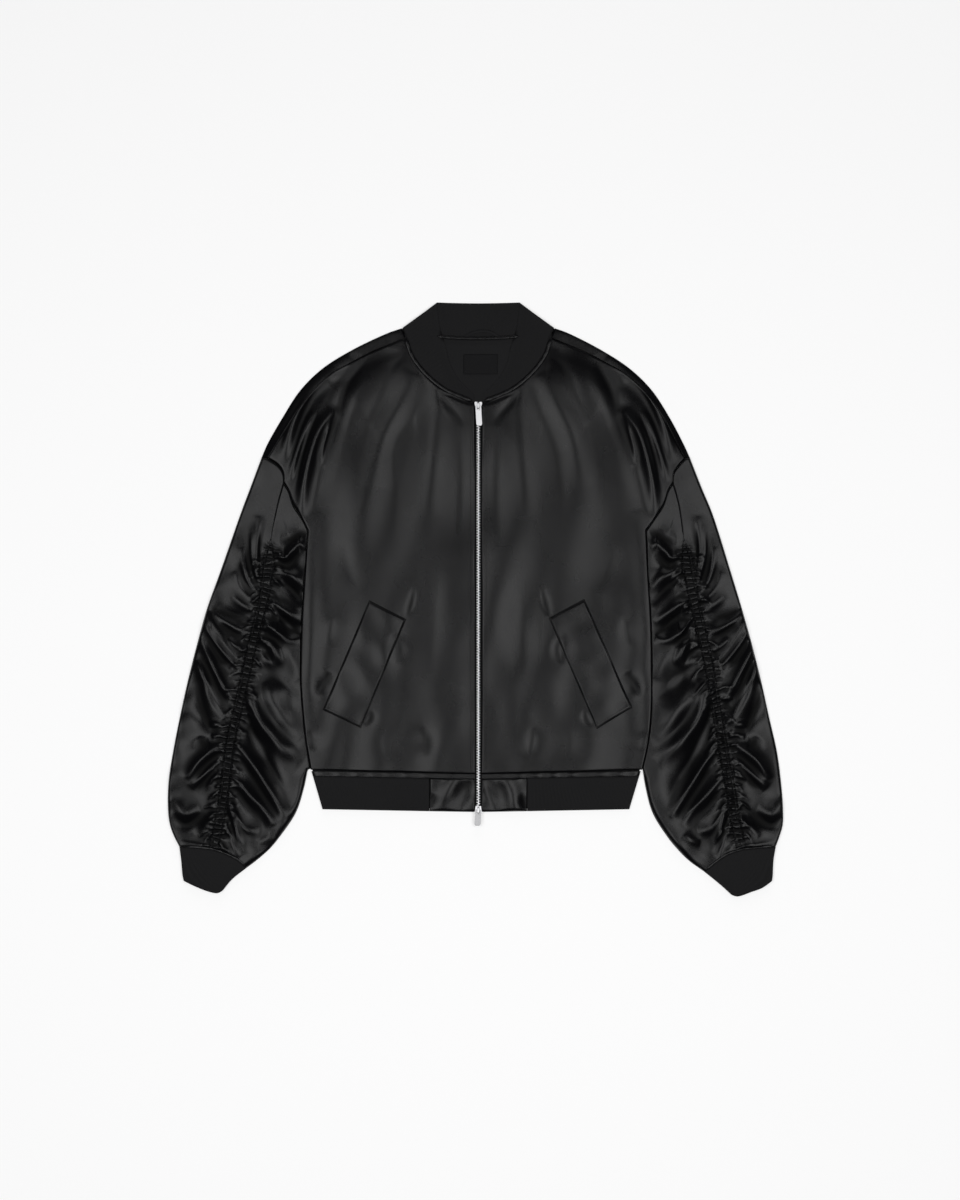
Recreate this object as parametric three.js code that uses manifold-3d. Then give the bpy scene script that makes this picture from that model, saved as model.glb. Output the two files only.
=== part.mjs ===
// A black satin bomber jacket with ruched sleeves, laid flat on its back.
// Lengths are millimetres. The zip lies on x = 0, +X is the viewer's right, +Y points to the
// collar, and +Z rises from the surface that the jacket lies on.
import * as THREE from "three";
import { mergeVertices } from "three/addons/utils/BufferGeometryUtils.js";
import Module from "manifold-3d";

// Cloth
const SATIN = 2.2;
const THIN_SATIN = 1.5;
const RIB = 3;
const SEAM_GAP = 0.3;
const ARMHOLE_ROOM = 1;

// Heights above the surface, from the back's layer up
const BACK_TOP = SATIN;
const LAID = BACK_TOP + SEAM_GAP;
const EDGE_TOP = LAID + SATIN;
const PANEL_TOP = 7.6;
const RUCHE_TOP = 8.2;
const FACING_TOP = LAID + THIN_SATIN;
const COLLAR_FLOOR = FACING_TOP + SEAM_GAP;

// The rounding of a panel towards an edge: how far in it reaches and how low it ends
const FOLDED_EDGE = { reach: 20, low: EDGE_TOP };
const BODY_SIDE = { reach: 12, low: EDGE_TOP };
const UNDER_BODY = { reach: 22, low: EDGE_TOP };
const SEWN_EDGE = { reach: 5, low: PANEL_TOP - 1.4 };
const ZIP_EDGE = { reach: 7, low: PANEL_TOP - 0.9 };
const RUCHED_EDGE = { reach: 6, low: PANEL_TOP - 0.8 };

// Rib knit
const RIB_PITCH = 4;
const RIB_RISE = 0.5;

// Ruching: gathers on each sleeve, counted down from where they begin
const GATHERS = 62;
const GATHER_RISE = 2.4;
const RUCHE_START = 0.845;
const RUCHE_OPENS = 0.05;
const RUCHE_ROOM = 0.5;
const RUCHE_HALF = { cuff: 6.5, middle: 6, top: 9 };

// Zip
const ZIP_GAP = 5.6;
const TAPE = { width: 13, floor: RIB + SEAM_GAP, thickness: 0.6, top: 262, bottom: -283 };
const CHAIN = { half: 3.4, floor: 4.4, top: 7 };
const SLIDER = { floor: 4.4, top: 8.6, half: 5.1, waist: 3.7, length: 11 };
const BRIDGE = { half: 1.2, reach: 4.3, foot: 1.5, rise: 3.2, bar: 1.1 };
const PULL = { half: 4, thickness: 1.2, bar: 0.7, window: 5.7, windowHalf: 1.9, lift: 1 };
const TOP_HINGE = { y: 260.3, length: 27, lean: 0.05 };
const BOTTOM_HINGE = { y: -285.6, length: 21, lean: -0.06 };

const SIDES = [
  { name: "left", sign: -1 },
  { name: "right", sign: 1 },
];

// Outlines and seams. out is the distance from the zip, and where the two halves of the
// jacket lie differently, left and right are that distance on each, and leftY and rightY the
// height on each.
const NECK_SEAM = [
  { out: 5, y: 265.8 },
  { out: 26, y: 274 },
  { out: 43, y: 281.6 },
  { out: 60.3, y: 293.8 },
  { out: 77.6, y: 310.8 },
  { out: 90.9, y: 330.2 },
  { out: 98.5, y: 353 },
];
const SHOULDER_SEAM = [
  { out: 98.5, y: 353 },
  { out: 146.7, y: 332.9 },
  { out: 177.3, y: 316.7 },
  { out: 196.2, y: 306 },
  { out: 215, y: 290 },
  { out: 242.7, y: 257 },
  { left: 285, right: 279, y: 189.6 },
];
const SHOULDER_OUTLINE = [
  { out: 103.7, y: 365.3 },
  { left: 122, right: 121, y: 359 },
  { left: 172, right: 167.5, y: 335.2 },
  { left: 211, right: 205, y: 310.6 },
  { left: 240.5, right: 234.5, y: 281.6 },
  { left: 265, right: 259, y: 243.9 },
  { left: 285, right: 277.5, y: 208.8 },
  { left: 293, right: 286, y: 190.5 },
];
const ARMHOLE_SHOULDER = [
  { left: 293, right: 286, y: 190.5 },
  { left: 285, right: 279, y: 189.6 },
];
const ARMHOLE_TOP = [
  { left: 285, right: 279, y: 189.6 },
  { out: 269.9, y: 179.6 },
  { out: 264, y: 170 },
  { out: 263, y: 156.9 },
];
const ARMHOLE_FRONT = [
  { out: 263, y: 156.9 },
  { out: 256.9, y: 147 },
  { out: 250.4, y: 127.7 },
  { out: 239.6, y: 110.4 },
  { left: 229.9, right: 226.5, y: 91.3 },
];
const BODY_SIDE_EDGE = [
  { left: 229.9, right: 226.5, y: 91.3 },
  { left: 234, right: 229, y: 34.6 },
  { left: 238.4, right: 233, y: -28.9 },
  { left: 240, right: 234.5, y: -107 },
  { left: 236.9, right: 233.5, y: -154.4 },
  { left: 232.2, right: 229, y: -195.9 },
  { left: 226.5, right: 221.5, y: -231 },
];
const SLEEVE_OUTER_EDGE = [
  { left: 293, right: 286, y: 190.5 },
  { left: 308.5, right: 302.3, y: 149 },
  { left: 321, right: 316.2, y: 115.6 },
  { left: 349.4, right: 341.8, y: 34.6 },
  { left: 366.9, right: 356.5, y: -14 },
  { left: 380.4, right: 370.2, y: -62.6 },
  { left: 392.6, right: 382.3, y: -111 },
  { left: 403.4, right: 393.1, y: -159.8 },
  { left: 412.8, right: 403.9, y: -208 },
  { left: 418.6, right: 409, y: -246 },
  { left: 419.6, right: 412, y: -283 },
  { left: 416.9, right: 411.6, y: -305.6 },
  { left: 411, right: 407, y: -322 },
  { left: 404, right: 402, y: -335.5 },
];
const SLEEVE_INNER_EDGE = [
  { left: 230.5, right: 222, y: -231 },
  { left: 236, right: 226.5, y: -257 },
  { left: 246.7, right: 235.5, y: -289.4 },
  { left: 268.4, right: 255.4, y: -321.8 },
  { left: 281.9, right: 268.5, y: -338 },
  { left: 300, right: 284.5, y: -354 },
  { left: 314, leftY: -364.5, right: 306, rightY: -369.5 },
];
const RUCHED_SEAM = [
  { left: 357.8, right: 356, y: -339.4 },
  { left: 348.7, right: 346, y: -296.6 },
  { left: 343, right: 341, y: -260.7 },
  { left: 338.6, right: 334, y: -222.3 },
  { left: 332.9, right: 328, y: -184.1 },
  { left: 324, right: 321, y: -145.9 },
  { left: 312, right: 312, y: -92.6 },
  { left: 302.3, right: 303, y: -49.4 },
  { left: 291.5, right: 293, y: -8.4 },
  { left: 284.5, right: 285, y: 34 },
  { left: 280.7, right: 278.5, y: 75.9 },
  { out: 271, y: 127.7 },
  { out: 263, y: 156.9 },
];
const CUFF_SEAM_OUTER = [
  { left: 404, right: 402, y: -335.5 },
  { left: 380.2, right: 379, y: -337.1 },
  { left: 357.8, right: 356, y: -339.4 },
];
const CUFF_SEAM_INNER = [
  { left: 357.8, right: 356, y: -339.4 },
  { left: 339.7, right: 337, y: -346 },
  { left: 321.7, leftY: -356, right: 318, rightY: -359 },
  { left: 314, leftY: -364.5, right: 306, rightY: -369.5 },
];

// The cuff's two sides, from the seam down, and its open end from the outer side to the inner
const CUFF_OUTER_SIDE = [
  { left: 404, right: 402, y: -335.5 },
  { left: 401.6, right: 399, y: -354 },
  { left: 399.8, right: 398, y: -374 },
  { left: 398.3, right: 397.2, y: -381 },
];
const CUFF_INNER_SIDE = [
  { left: 314, leftY: -364.5, right: 306, rightY: -369.5 },
  { left: 332.9, leftY: -379.6, right: 327, rightY: -386.6 },
  { left: 345.3, leftY: -394.5, right: 342.3, rightY: -400.4 },
];
const CUFF_END = [
  { left: 398.3, right: 397.2, y: -381 },
  { left: 384.8, leftY: -387.7, right: 384, rightY: -390.5 },
  { left: 364.5, leftY: -395.7, right: 369.5, rightY: -396 },
  { left: 352.1, leftY: -397.8, right: 350, rightY: -402.3 },
  { left: 345.3, leftY: -394.5, right: 342.3, rightY: -400.4 },
];

// Collar band: the edge that stands free, from the fold at the shoulder to the zip
const COLLAR_FREE_EDGE = [
  { out: 55.8, y: 399.6 },
  { out: 50.6, y: 362 },
  { out: 44.5, y: 343 },
  { out: 38.2, y: 318.1 },
  { out: 27.4, y: 297.8 },
  { out: 12, y: 281.6 },
  { out: 2.5, y: 272.5 },
];
const COLLAR_FOLD = { out: 103.7, y: 365.3 };
const COLLAR = { topY: 400.4, sag: 1.2, backRun: 152, frontRun: 150, frontEnds: 0.985 };
const BACK_NECK = { y: 350.6, curve: 2.4 };
const CUFF = { ends: 0.03, slot: 0.6, round: 1, steps: 3 };
const PIPING = { radius: 2.3, height: 5.2, sides: 6, room: 2.9, starts: 0.04, ends: 0.985 };

// Inside the neck: the lining's half width at the back seam, the bare label and the hanger loop
const LINING_HALF = 92;
const LABEL = { width: 46, height: 27, thickness: 0.8, x: 3, y: 316.7 };
const LOOP = { half: 1.8, halfThickness: 0.6 };
const LOOP_COURSE = [
  { x: -19.3, y: 352.6, z: 4.6 },
  { x: -8, y: 359, z: 4.7 },
  { x: 6.3, y: 361.3, z: 4.7 },
  { x: 18, y: 359.4, z: 4.7 },
  { x: 27.9, y: 353.2, z: 4.6 },
];

// Hem
const HEM_SEAM = { sideY: -233, zipY: -237 };
const HEM_STRIP = { width: 6.5, edge: 6.8, roll: 1.4, endTop: 5, endReach: 8, least: EDGE_TOP + 0.6 };
const HEM_BOTTOM = { sideY: -284.7, zipY: -288.4 };
const HEM_SIDE = {
  left: { top: 225.5, bottom: 210.5 },
  right: { top: 219.5, bottom: 204 },
};
const HEM_BLOCK = { out: 65.9, edge: 5.7, top: 6.9, round: 4, sewn: 1.5 };
const HEM_ZIP_GAP = ZIP_GAP + 0.6;

// Welt pockets, corner by corner from the inner top one
const POCKETS = {
  left: { x1: -97.3, y1: -27.9, x2: -147.2, y2: -2.2, x3: -210.1, y3: -150.1, x4: -158.8, y4: -174.7 },
  right: { x1: 95.2, y1: -26.2, x2: 143.2, y2: -0.5, x3: 207.8, y3: -147, x4: 160.1, y4: -176 },
};
const POCKET = { thickness: 1.8, width: 56, lift: 1, edge: 1.2, round: 5 };

// The largest folds of one half, each a soft ridge (rise over 0) or trough (under 0) that runs
// from one point by another to a third and fades out at both ends. spread is its half width.
const SHOULDER_FOLDS = [
  { rise: 4.5, spread: 13, from: [180, 313], by: [232, 268], to: [266, 180] },
  { rise: -3, spread: 10, from: [226, 275], by: [243, 232], to: [261, 170] },
  { rise: 4, spread: 10, from: [212, 272], by: [231, 218], to: [259, 156] },
  { rise: -3, spread: 12, from: [188, 297], by: [220, 245], to: [252, 136] },
  { rise: 6, spread: 12, from: [194, 258], by: [222, 205], to: [239, 100] },
  { rise: 4, spread: 7, from: [193, 248], by: [209, 210], to: [216, 165] },
];
const BODY_FOLDS = [
  { rise: -2.5, spread: 18, from: [118, 330], by: [144, 255], to: [160, 180] },
  { rise: -2.2, spread: 16, from: [84, 305], by: [98, 225], to: [106, 130] },
  { rise: -2, spread: 12, from: [52, 274], by: [36, 255], to: [22, 210] },
  { rise: 3.5, spread: 20, from: [216, 150], by: [226, -30], to: [222, -205] },
  { rise: -2, spread: 9, from: [92, -20], by: [84, 6], to: [78, 40] },
];
const SLEEVE_FOLDS = [
  { rise: 5, spread: 9, from: [296, 112], by: [292, 66], to: [292, 20] },
  { rise: 4, spread: 8, from: [312, 100], by: [303, 56], to: [296, 18] },
  { rise: -3, spread: 9, from: [362, -12], by: [334, -24], to: [304, -32] },
  { rise: 6, spread: 9, from: [364, -21], by: [348, -58], to: [314, -94] },
  { rise: 5, spread: 7, from: [368, -46], by: [361, -84], to: [347, -116] },
  { rise: 8, spread: 9, from: [276, 56], by: [252, 70], to: [231, 62] },
  { rise: 8, spread: 9, from: [274, 42], by: [250, 28], to: [234, 6] },
  { rise: 9, spread: 9, from: [286, -15], by: [258, -18], to: [238, -34] },
  { rise: 8, spread: 9, from: [297, -45], by: [270, -44], to: [241, -56] },
  { rise: 6, spread: 9, from: [299, -56], by: [276, -74], to: [262, -98] },
  { rise: 9, spread: 10, from: [379, -88], by: [362, -127], to: [338, -176] },
  { rise: 5, spread: 8, from: [358, -94], by: [344, -120], to: [326, -140] },
  { rise: 10, spread: 10, from: [342, -190], by: [372, -216], to: [396, -248] },
  { rise: 8, spread: 10, from: [394, -262], by: [368, -236], to: [342, -214] },
  { rise: -3, spread: 9, from: [414, -288], by: [390, -304], to: [352, -280] },
  { rise: 10, spread: 13, from: [313, -108], by: [302, -165], to: [256, -236] },
  { rise: 9, spread: 12, from: [302, -98], by: [276, -158], to: [236, -214] },
  { rise: -4, spread: 8, from: [314, -178], by: [290, -226], to: [252, -286] },
  { rise: 9, spread: 9, from: [330, -192], by: [288, -238], to: [252, -298] },
  { rise: 8, spread: 8, from: [335, -226], by: [298, -270], to: [268, -316] },
  { rise: 7, spread: 8, from: [336, -252], by: [318, -290], to: [292, -322] },
  { rise: 6, spread: 7, from: [342, -276], by: [330, -308], to: [316, -346] },
];

const satin = new THREE.MeshStandardMaterial({ color: 0x17181a, roughness: 0.38, metalness: 0 });
const lining = new THREE.MeshStandardMaterial({ color: 0x131315, roughness: 0.6, metalness: 0 });
const ribKnit = new THREE.MeshStandardMaterial({ color: 0x111112, roughness: 0.95, metalness: 0 });
const tapeCloth = new THREE.MeshStandardMaterial({ color: 0x0e0e0f, roughness: 0.9, metalness: 0 });
const silver = new THREE.MeshStandardMaterial({ color: 0xc9cbce, roughness: 0.25, metalness: 1 });

const jacket = new THREE.Group();

function addPiece(name, geometry, material) {
  const piece = new THREE.Mesh(geometry, material);
  piece.name = name;
  jacket.add(piece);
}

const lerp = THREE.MathUtils.lerp;
const clamp = THREE.MathUtils.clamp;

// A smooth curve through a table's points on one side, as a function of the share of its length
function curveOf(rows, side) {
  const points = rows.map((row) => {
    const out = row.out ?? row[side.name];
    return new THREE.Vector3(side.sign * out, row.y ?? row[side.name + "Y"], 0);
  });
  const curve = new THREE.CatmullRomCurve3(points, false, "centripetal");
  const place = (share) => curve.getPointAt(clamp(share, 0, 1));
  place.run = curve.getLength();
  return place;
}

function backwards(curve) {
  const place = (share) => curve(1 - share);
  place.run = curve.run;
  return place;
}

// Curves end to end. ends holds the share at which each one stops.
function joinedCurves(...curves) {
  const whole = curves.reduce((sum, curve) => sum + curve.run, 0);
  const ends = [];
  for (const curve of curves) ends.push((ends.at(-1) ?? 0) + curve.run / whole);
  ends[ends.length - 1] = 1;
  const place = (share) => {
    const step = Math.max(ends.findIndex((end) => share <= end), 0);
    const start = step ? ends[step - 1] : 0;
    return curves[share > 1 ? curves.length - 1 : step]((share - start) / (ends[step] - start));
  };
  place.run = whole;
  place.ends = ends;
  return place;
}

// Shares that crowd within each stretch between given ends
function sharesThrough(ends, counts, crowding) {
  const shares = [0];
  ends.forEach((end, i) => {
    const start = shares.at(-1);
    for (const share of crowded(counts[i], crowding).slice(1)) shares.push(lerp(start, end, share));
  });
  return shares;
}

// The unit vector to the left of a curve's direction at a share of its length
function leftOf(curve, share) {
  const step = 0.004;
  const along = curve(share + step).sub(curve(share - step)).normalize();
  return new THREE.Vector3(-along.y, along.x, 0);
}

const shifted = (curve, distance) => (share) =>
  curve(share).addScaledVector(leftOf(curve, share), distance(share));

// A sheet stretched between four edges: across is 0 at the first side and 1 at the other, and
// up is 0 at the bottom and 1 at the top
function patch(bottom, top, first, other) {
  return (across, up) => {
    const point = bottom(across).multiplyScalar(1 - up);
    point.addScaledVector(top(across), up);
    point.addScaledVector(first(up), 1 - across);
    point.addScaledVector(other(up), across);
    point.addScaledVector(bottom(0), -(1 - across) * (1 - up));
    point.addScaledVector(bottom(1), -across * (1 - up));
    point.addScaledVector(top(0), -(1 - across) * up);
    return point.addScaledVector(top(1), -across * up);
  };
}

// A sheet's edges moved in by half a seam gap or more
function inset(sheet, margins) {
  return (across, up) => {
    const width = sheet(1, up).distanceTo(sheet(0, up));
    const height = sheet(across, 1).distanceTo(sheet(across, 0));
    const low = margins.first / width;
    const high = 1 - margins.other / width;
    const bottom = margins.bottom / height;
    const top = 1 - margins.top / height;
    return sheet(lerp(low, high, across), lerp(bottom, top, up));
  };
}

const straight = (start, end) => (share) => start.clone().lerp(end, share);

function closedGeometry(positions, index) {
  const geometry = new THREE.BufferGeometry();
  geometry.setAttribute("position", new THREE.Float32BufferAttribute(positions, 3));
  geometry.setIndex(index);
  geometry.computeVertexNormals();
  return geometry;
}

// Shares from 0 to 1 that crowd towards both ends
function crowded(count, crowding) {
  return Array.from({ length: count + 1 }, (_, i) => {
    const even = i / count;
    const waved = (1 - Math.cos(Math.PI * even)) / 2;
    return lerp(even, waved, crowding);
  });
}

// A cloth wall over a sheet, between its outer and inner faces
function wall(columns, rows, outer, inner) {
  const positions = [];
  for (const face of [outer, inner])
    for (const up of rows) for (const across of columns) positions.push(...face(across, up));
  const wide = columns.length;
  const high = rows.length;
  const flip = wall.turned(outer) ? 1 : 0;
  const at = (face, i, j) => face * wide * high + j * wide + i;
  const index = [];
  const quad = (a, b, c, d) => {
    if (flip) index.push(a, c, b, a, d, c);
    else index.push(a, b, c, a, c, d);
  };
  for (let j = 0; j < high - 1; j++)
    for (let i = 0; i < wide - 1; i++) {
      quad(at(0, i, j), at(0, i + 1, j), at(0, i + 1, j + 1), at(0, i, j + 1));
      quad(at(1, i, j), at(1, i, j + 1), at(1, i + 1, j + 1), at(1, i + 1, j));
    }
  for (let i = 0; i < wide - 1; i++) {
    quad(at(0, i, 0), at(1, i, 0), at(1, i + 1, 0), at(0, i + 1, 0));
    quad(at(0, i, high - 1), at(0, i + 1, high - 1), at(1, i + 1, high - 1), at(1, i, high - 1));
  }
  for (let j = 0; j < high - 1; j++) {
    quad(at(0, 0, j), at(0, 0, j + 1), at(1, 0, j + 1), at(1, 0, j));
    quad(at(0, wide - 1, j), at(1, wide - 1, j), at(1, wide - 1, j + 1), at(0, wide - 1, j + 1));
  }
  return closedGeometry(positions, index);
}

// Whether a sheet runs clockwise seen from above, so that its faces need turning round
wall.turned = (outer) => {
  const [ax, ay] = outer(0, 0);
  const [bx, by] = outer(1, 0);
  const [cx, cy] = outer(0, 1);
  return (bx - ax) * (cy - ay) - (by - ay) * (cx - ax) < 0;
};

// Soft folds: each fold's course as short straight steps
const FOLD_STEPS = 10;
function courseOf(fold, side) {
  const [from, by, to] = [fold.from, fold.by, fold.to].map(
    ([out, y]) => new THREE.Vector3(side.sign * out, y, 0),
  );
  const control = by.clone().multiplyScalar(2).addScaledVector(from, -0.5).addScaledVector(to, -0.5);
  const curve = new THREE.QuadraticBezierCurve3(from, control, to);
  return { ...fold, points: curve.getPoints(FOLD_STEPS) };
}

function foldHeight(course, x, y) {
  const here = new THREE.Vector3(x, y, 0);
  const nearest = new THREE.Vector3();
  let best = Infinity;
  let share = 0;
  for (let i = 0; i < FOLD_STEPS; i++) {
    const step = new THREE.Line3(course.points[i], course.points[i + 1]);
    const along = step.closestPointToPointParameter(here, true);
    const distance = step.at(along, nearest).distanceTo(here);
    if (distance < best) {
      best = distance;
      share = (i + along) / FOLD_STEPS;
    }
  }
  const fade = Math.sin(Math.PI * share) ** 0.6;
  return course.rise * fade * Math.exp(-((best / course.spread) ** 2));
}

function relief(folds, side) {
  const courses = folds.map((fold) => courseOf(fold, side));
  return (x, y) => {
    let highest = 0;
    let lowest = 0;
    for (const course of courses) {
      const height = foldHeight(course, x, y);
      highest = Math.max(highest, height);
      lowest = Math.min(lowest, height);
    }
    return highest + lowest;
  };
}

// The share of its full height that a panel has at a distance from a rounded edge
function rounding(distance, reach) {
  const share = clamp(distance / reach, 0, 1);
  return Math.sqrt(1 - (1 - share) ** 2);
}

// A panel's top: its full height with its folds, rounded down at each of its four edges
function panelTop(sheet, folds, edges) {
  return (across, up) => {
    const point = sheet(across, up);
    const width = sheet(1, up).distanceTo(sheet(0, up));
    const height = sheet(across, 1).distanceTo(sheet(across, 0));
    let top = PANEL_TOP + folds(point.x, point.y);
    const sides = [
      [edges.first, across * width],
      [edges.other, (1 - across) * width],
      [edges.bottom, up * height],
      [edges.top, (1 - up) * height],
    ];
    for (const [edge, distance] of sides)
      top = Math.min(top, lerp(edge.low, top, rounding(distance, edge.reach)));
    return [point.x, point.y, Math.max(top, EDGE_TOP)];
  };
}

function lowered(outer, thickness) {
  return (across, up) => {
    const [x, y, z] = outer(across, up);
    return [x, y, z - thickness];
  };
}

// A flat layer of cloth inside an outline, from one height to another
function flatLayer(outline, floor, top) {
  const shape = new THREE.Shape(outline.map((point) => new THREE.Vector2(point.x, point.y)));
  const geometry = new THREE.ExtrudeGeometry(shape, { depth: top - floor, bevelEnabled: false });
  geometry.translate(0, 0, floor);
  return geometry;
}

// Points along a curve, without its last one, so that curves join end to end
function pointsOn(curve, count) {
  return Array.from({ length: count }, (_, i) => curve(i / count));
}

// An outline moved in by a margin, corner by corner
function shrunk(outline, margin) {
  const turn = THREE.ShapeUtils.isClockWise(outline) ? -1 : 1;
  return outline.map((point, i) => {
    const before = outline[(i + outline.length - 1) % outline.length];
    const after = outline[(i + 1) % outline.length];
    const first = point.clone().sub(before).normalize();
    const second = after.clone().sub(point).normalize();
    const bisector = new THREE.Vector3(-first.y - second.y, first.x + second.x, 0).normalize();
    const cosine = clamp(bisector.dot(new THREE.Vector3(-first.y, first.x, 0)), 0.5, 1);
    return point.clone().addScaledVector(bisector, (turn * margin) / cosine);
  });
}

// Rib knit or gathers: ridges that run across a band, over a plain inside. The band's points
// come from place(along, over), its floor is flat, and rise(along, over) is each ridge's own.
function ridgedBand(ridges, overSteps, place, floor, thickness, rise) {
  const outerCount = 2 * ridges + 1;
  const overs = Array.from({ length: overSteps + 1 }, (_, k) => k / overSteps);
  const positions = [];
  for (const over of overs)
    for (let i = 0; i < outerCount; i++) {
      const along = i / (2 * ridges);
      const point = place(along, over);
      const ridge = i % 2 ? rise(along, over) : 0;
      positions.push(point.x, point.y, floor(point) + thickness + ridge);
    }
  const innerStart = positions.length / 3;
  for (const over of overs)
    for (let k = 0; k <= ridges; k++) {
      const point = place(k / ridges, over);
      positions.push(point.x, point.y, floor(point));
    }
  const outerAt = (i, j) => j * outerCount + i;
  const innerAt = (k, j) => innerStart + j * (ridges + 1) + k;
  const index = [];
  const [a, b, c] = [place(0, 0), place(1, 0), place(0, 1)];
  const flip = (b.x - a.x) * (c.y - a.y) - (b.y - a.y) * (c.x - a.x) < 0;
  const face = (p, q, r) => (flip ? index.push(p, r, q) : index.push(p, q, r));
  for (let j = 0; j < overSteps; j++) {
    for (let i = 0; i < outerCount - 1; i++) {
      face(outerAt(i, j), outerAt(i + 1, j), outerAt(i + 1, j + 1));
      face(outerAt(i, j), outerAt(i + 1, j + 1), outerAt(i, j + 1));
    }
    for (let k = 0; k < ridges; k++) {
      face(innerAt(k, j), innerAt(k + 1, j + 1), innerAt(k + 1, j));
      face(innerAt(k, j), innerAt(k, j + 1), innerAt(k + 1, j + 1));
    }
    face(innerAt(0, j), outerAt(0, j), outerAt(0, j + 1));
    face(innerAt(0, j), outerAt(0, j + 1), innerAt(0, j + 1));
    face(innerAt(ridges, j), outerAt(outerCount - 1, j + 1), outerAt(outerCount - 1, j));
    face(innerAt(ridges, j), innerAt(ridges, j + 1), outerAt(outerCount - 1, j + 1));
  }
  for (let k = 0; k < ridges; k++) {
    const [low, peak, high] = [2 * k, 2 * k + 1, 2 * k + 2];
    face(innerAt(k, 0), outerAt(peak, 0), outerAt(low, 0));
    face(innerAt(k, 0), innerAt(k + 1, 0), outerAt(peak, 0));
    face(innerAt(k + 1, 0), outerAt(high, 0), outerAt(peak, 0));
    const end = overSteps;
    face(innerAt(k, end), outerAt(low, end), outerAt(peak, end));
    face(innerAt(k, end), outerAt(peak, end), innerAt(k + 1, end));
    face(innerAt(k + 1, end), outerAt(peak, end), outerAt(high, end));
  }
  return closedGeometry(positions, index);
}

// The seams and edges of one half
function seamsOf(side) {
  const ruchedSeam = curveOf(RUCHED_SEAM, side);
  const halfWidth = (share) => {
    const opening = clamp((RUCHE_START - share) / RUCHE_OPENS, 0, 1);
    const middle = Math.sin(Math.PI * clamp(share / RUCHE_START, 0, 1));
    const ends = lerp(RUCHE_HALF.cuff, RUCHE_HALF.top, share / RUCHE_START);
    return opening * lerp(ends, RUCHE_HALF.middle, middle);
  };
  const armholeShoulder = curveOf(ARMHOLE_SHOULDER, side);
  const armholeTop = curveOf(ARMHOLE_TOP, side);
  const armholeFront = curveOf(ARMHOLE_FRONT, side);
  const bodySide = curveOf(BODY_SIDE_EDGE, side);
  const neck = curveOf(NECK_SEAM, side);
  const shoulderSeam = curveOf(SHOULDER_SEAM, side);
  const cuffSeamOuter = curveOf(CUFF_SEAM_OUTER, side);
  const cuffSeamInner = curveOf(CUFF_SEAM_INNER, side);
  const sleeveInnerEdge = curveOf(SLEEVE_INNER_EDGE, side);
  const frontTop = joinedCurves(neck, shoulderSeam);
  const neckEnd = frontTop.ends[0];
  const pipingRoom = (share) =>
    lerp(PIPING.room, HALF_GAP, clamp((share - neckEnd) / 0.02, 0, 1));
  return {
    ruchedSeam,
    halfWidth,
    neckEnd,
    bodySide,
    neck,
    shoulderSeam,
    armholeFront,
    cuffSeamOuter,
    cuffSeamInner,
    armholeShoulder,
    sleeveTop: joinedCurves(armholeShoulder, armholeTop),
    armhole: joinedCurves(armholeShoulder, armholeTop, armholeFront),
    cuffSeam: joinedCurves(cuffSeamOuter, cuffSeamInner),
    frontSide: joinedCurves(backwards(bodySide), backwards(armholeFront), backwards(armholeTop)),
    sleeveInside: joinedCurves(backwards(sleeveInnerEdge), backwards(bodySide)),
    frontTop: shifted(frontTop, (share) => side.sign * -pipingRoom(share)),
    rucheOutside: shifted(ruchedSeam, (share) => -side.sign * halfWidth(share)),
    rucheInside: shifted(ruchedSeam, (share) => side.sign * halfWidth(share)),
    shoulderOutline: curveOf(SHOULDER_OUTLINE, side),
    sleeveOutside: backwards(curveOf(SLEEVE_OUTER_EDGE, side)),
  };
}

const hemY = (level, out, side) => lerp(level.zipY, level.sideY, out / HEM_SIDE[side.name].top);
const at = (x, y) => new THREE.Vector3(x, y, 0);
const HALF_GAP = SEAM_GAP / 2;

// Front panel, from the zip to the side edge and armhole
function frontSheet(side, seams) {
  const bottom = straight(
    at(side.sign * ZIP_GAP, HEM_SEAM.zipY),
    at(side.sign * BODY_SIDE_EDGE.at(-1)[side.name], HEM_SEAM.sideY),
  );
  const zipEdge = straight(at(side.sign * ZIP_GAP, HEM_SEAM.zipY), seams.frontTop(0));
  const sheet = patch(bottom, seams.frontTop, zipEdge, seams.frontSide);
  return inset(sheet, { first: HALF_GAP, other: SEAM_GAP, bottom: HALF_GAP, top: HALF_GAP });
}

function frontSurface(side, seams) {
  const folds = relief([...SHOULDER_FOLDS, ...BODY_FOLDS], side);
  return panelTop(frontSheet(side, seams), folds, {
    first: ZIP_EDGE,
    other: BODY_SIDE,
    bottom: SEWN_EDGE,
    top: SEWN_EDGE,
  });
}

function makeFront(side, seams) {
  const outer = frontSurface(side, seams);
  const columns = sharesThrough([seams.neckEnd, 1], [8, 8], 0.2);
  const rows = sharesThrough(seams.frontSide.ends, [11, 5, 3], 0.2);
  addPiece("front_" + side.name, wall(columns, rows, outer, lowered(outer, SATIN)), satin);
}

// The strip of the back that rolls over the shoulder to the seam on the front
function makeShoulder(side, seams) {
  const start = straight(seams.shoulderSeam(0), seams.shoulderOutline(0));
  const end = backwards(seams.armholeShoulder);
  const sheet = inset(patch(start, end, seams.shoulderSeam, seams.shoulderOutline), {
    first: HALF_GAP,
    other: HALF_GAP,
    bottom: PIPING.room,
    top: ARMHOLE_ROOM,
  });
  const outer = panelTop(sheet, () => 0, {
    first: SEWN_EDGE,
    other: { reach: 9, low: EDGE_TOP },
    bottom: SEWN_EDGE,
    top: { reach: 16, low: EDGE_TOP },
  });
  const geometry = wall(crowded(4, 0.4), crowded(16, 0), outer, lowered(outer, SATIN));
  addPiece("shoulder_" + side.name, geometry, satin);
}

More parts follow.
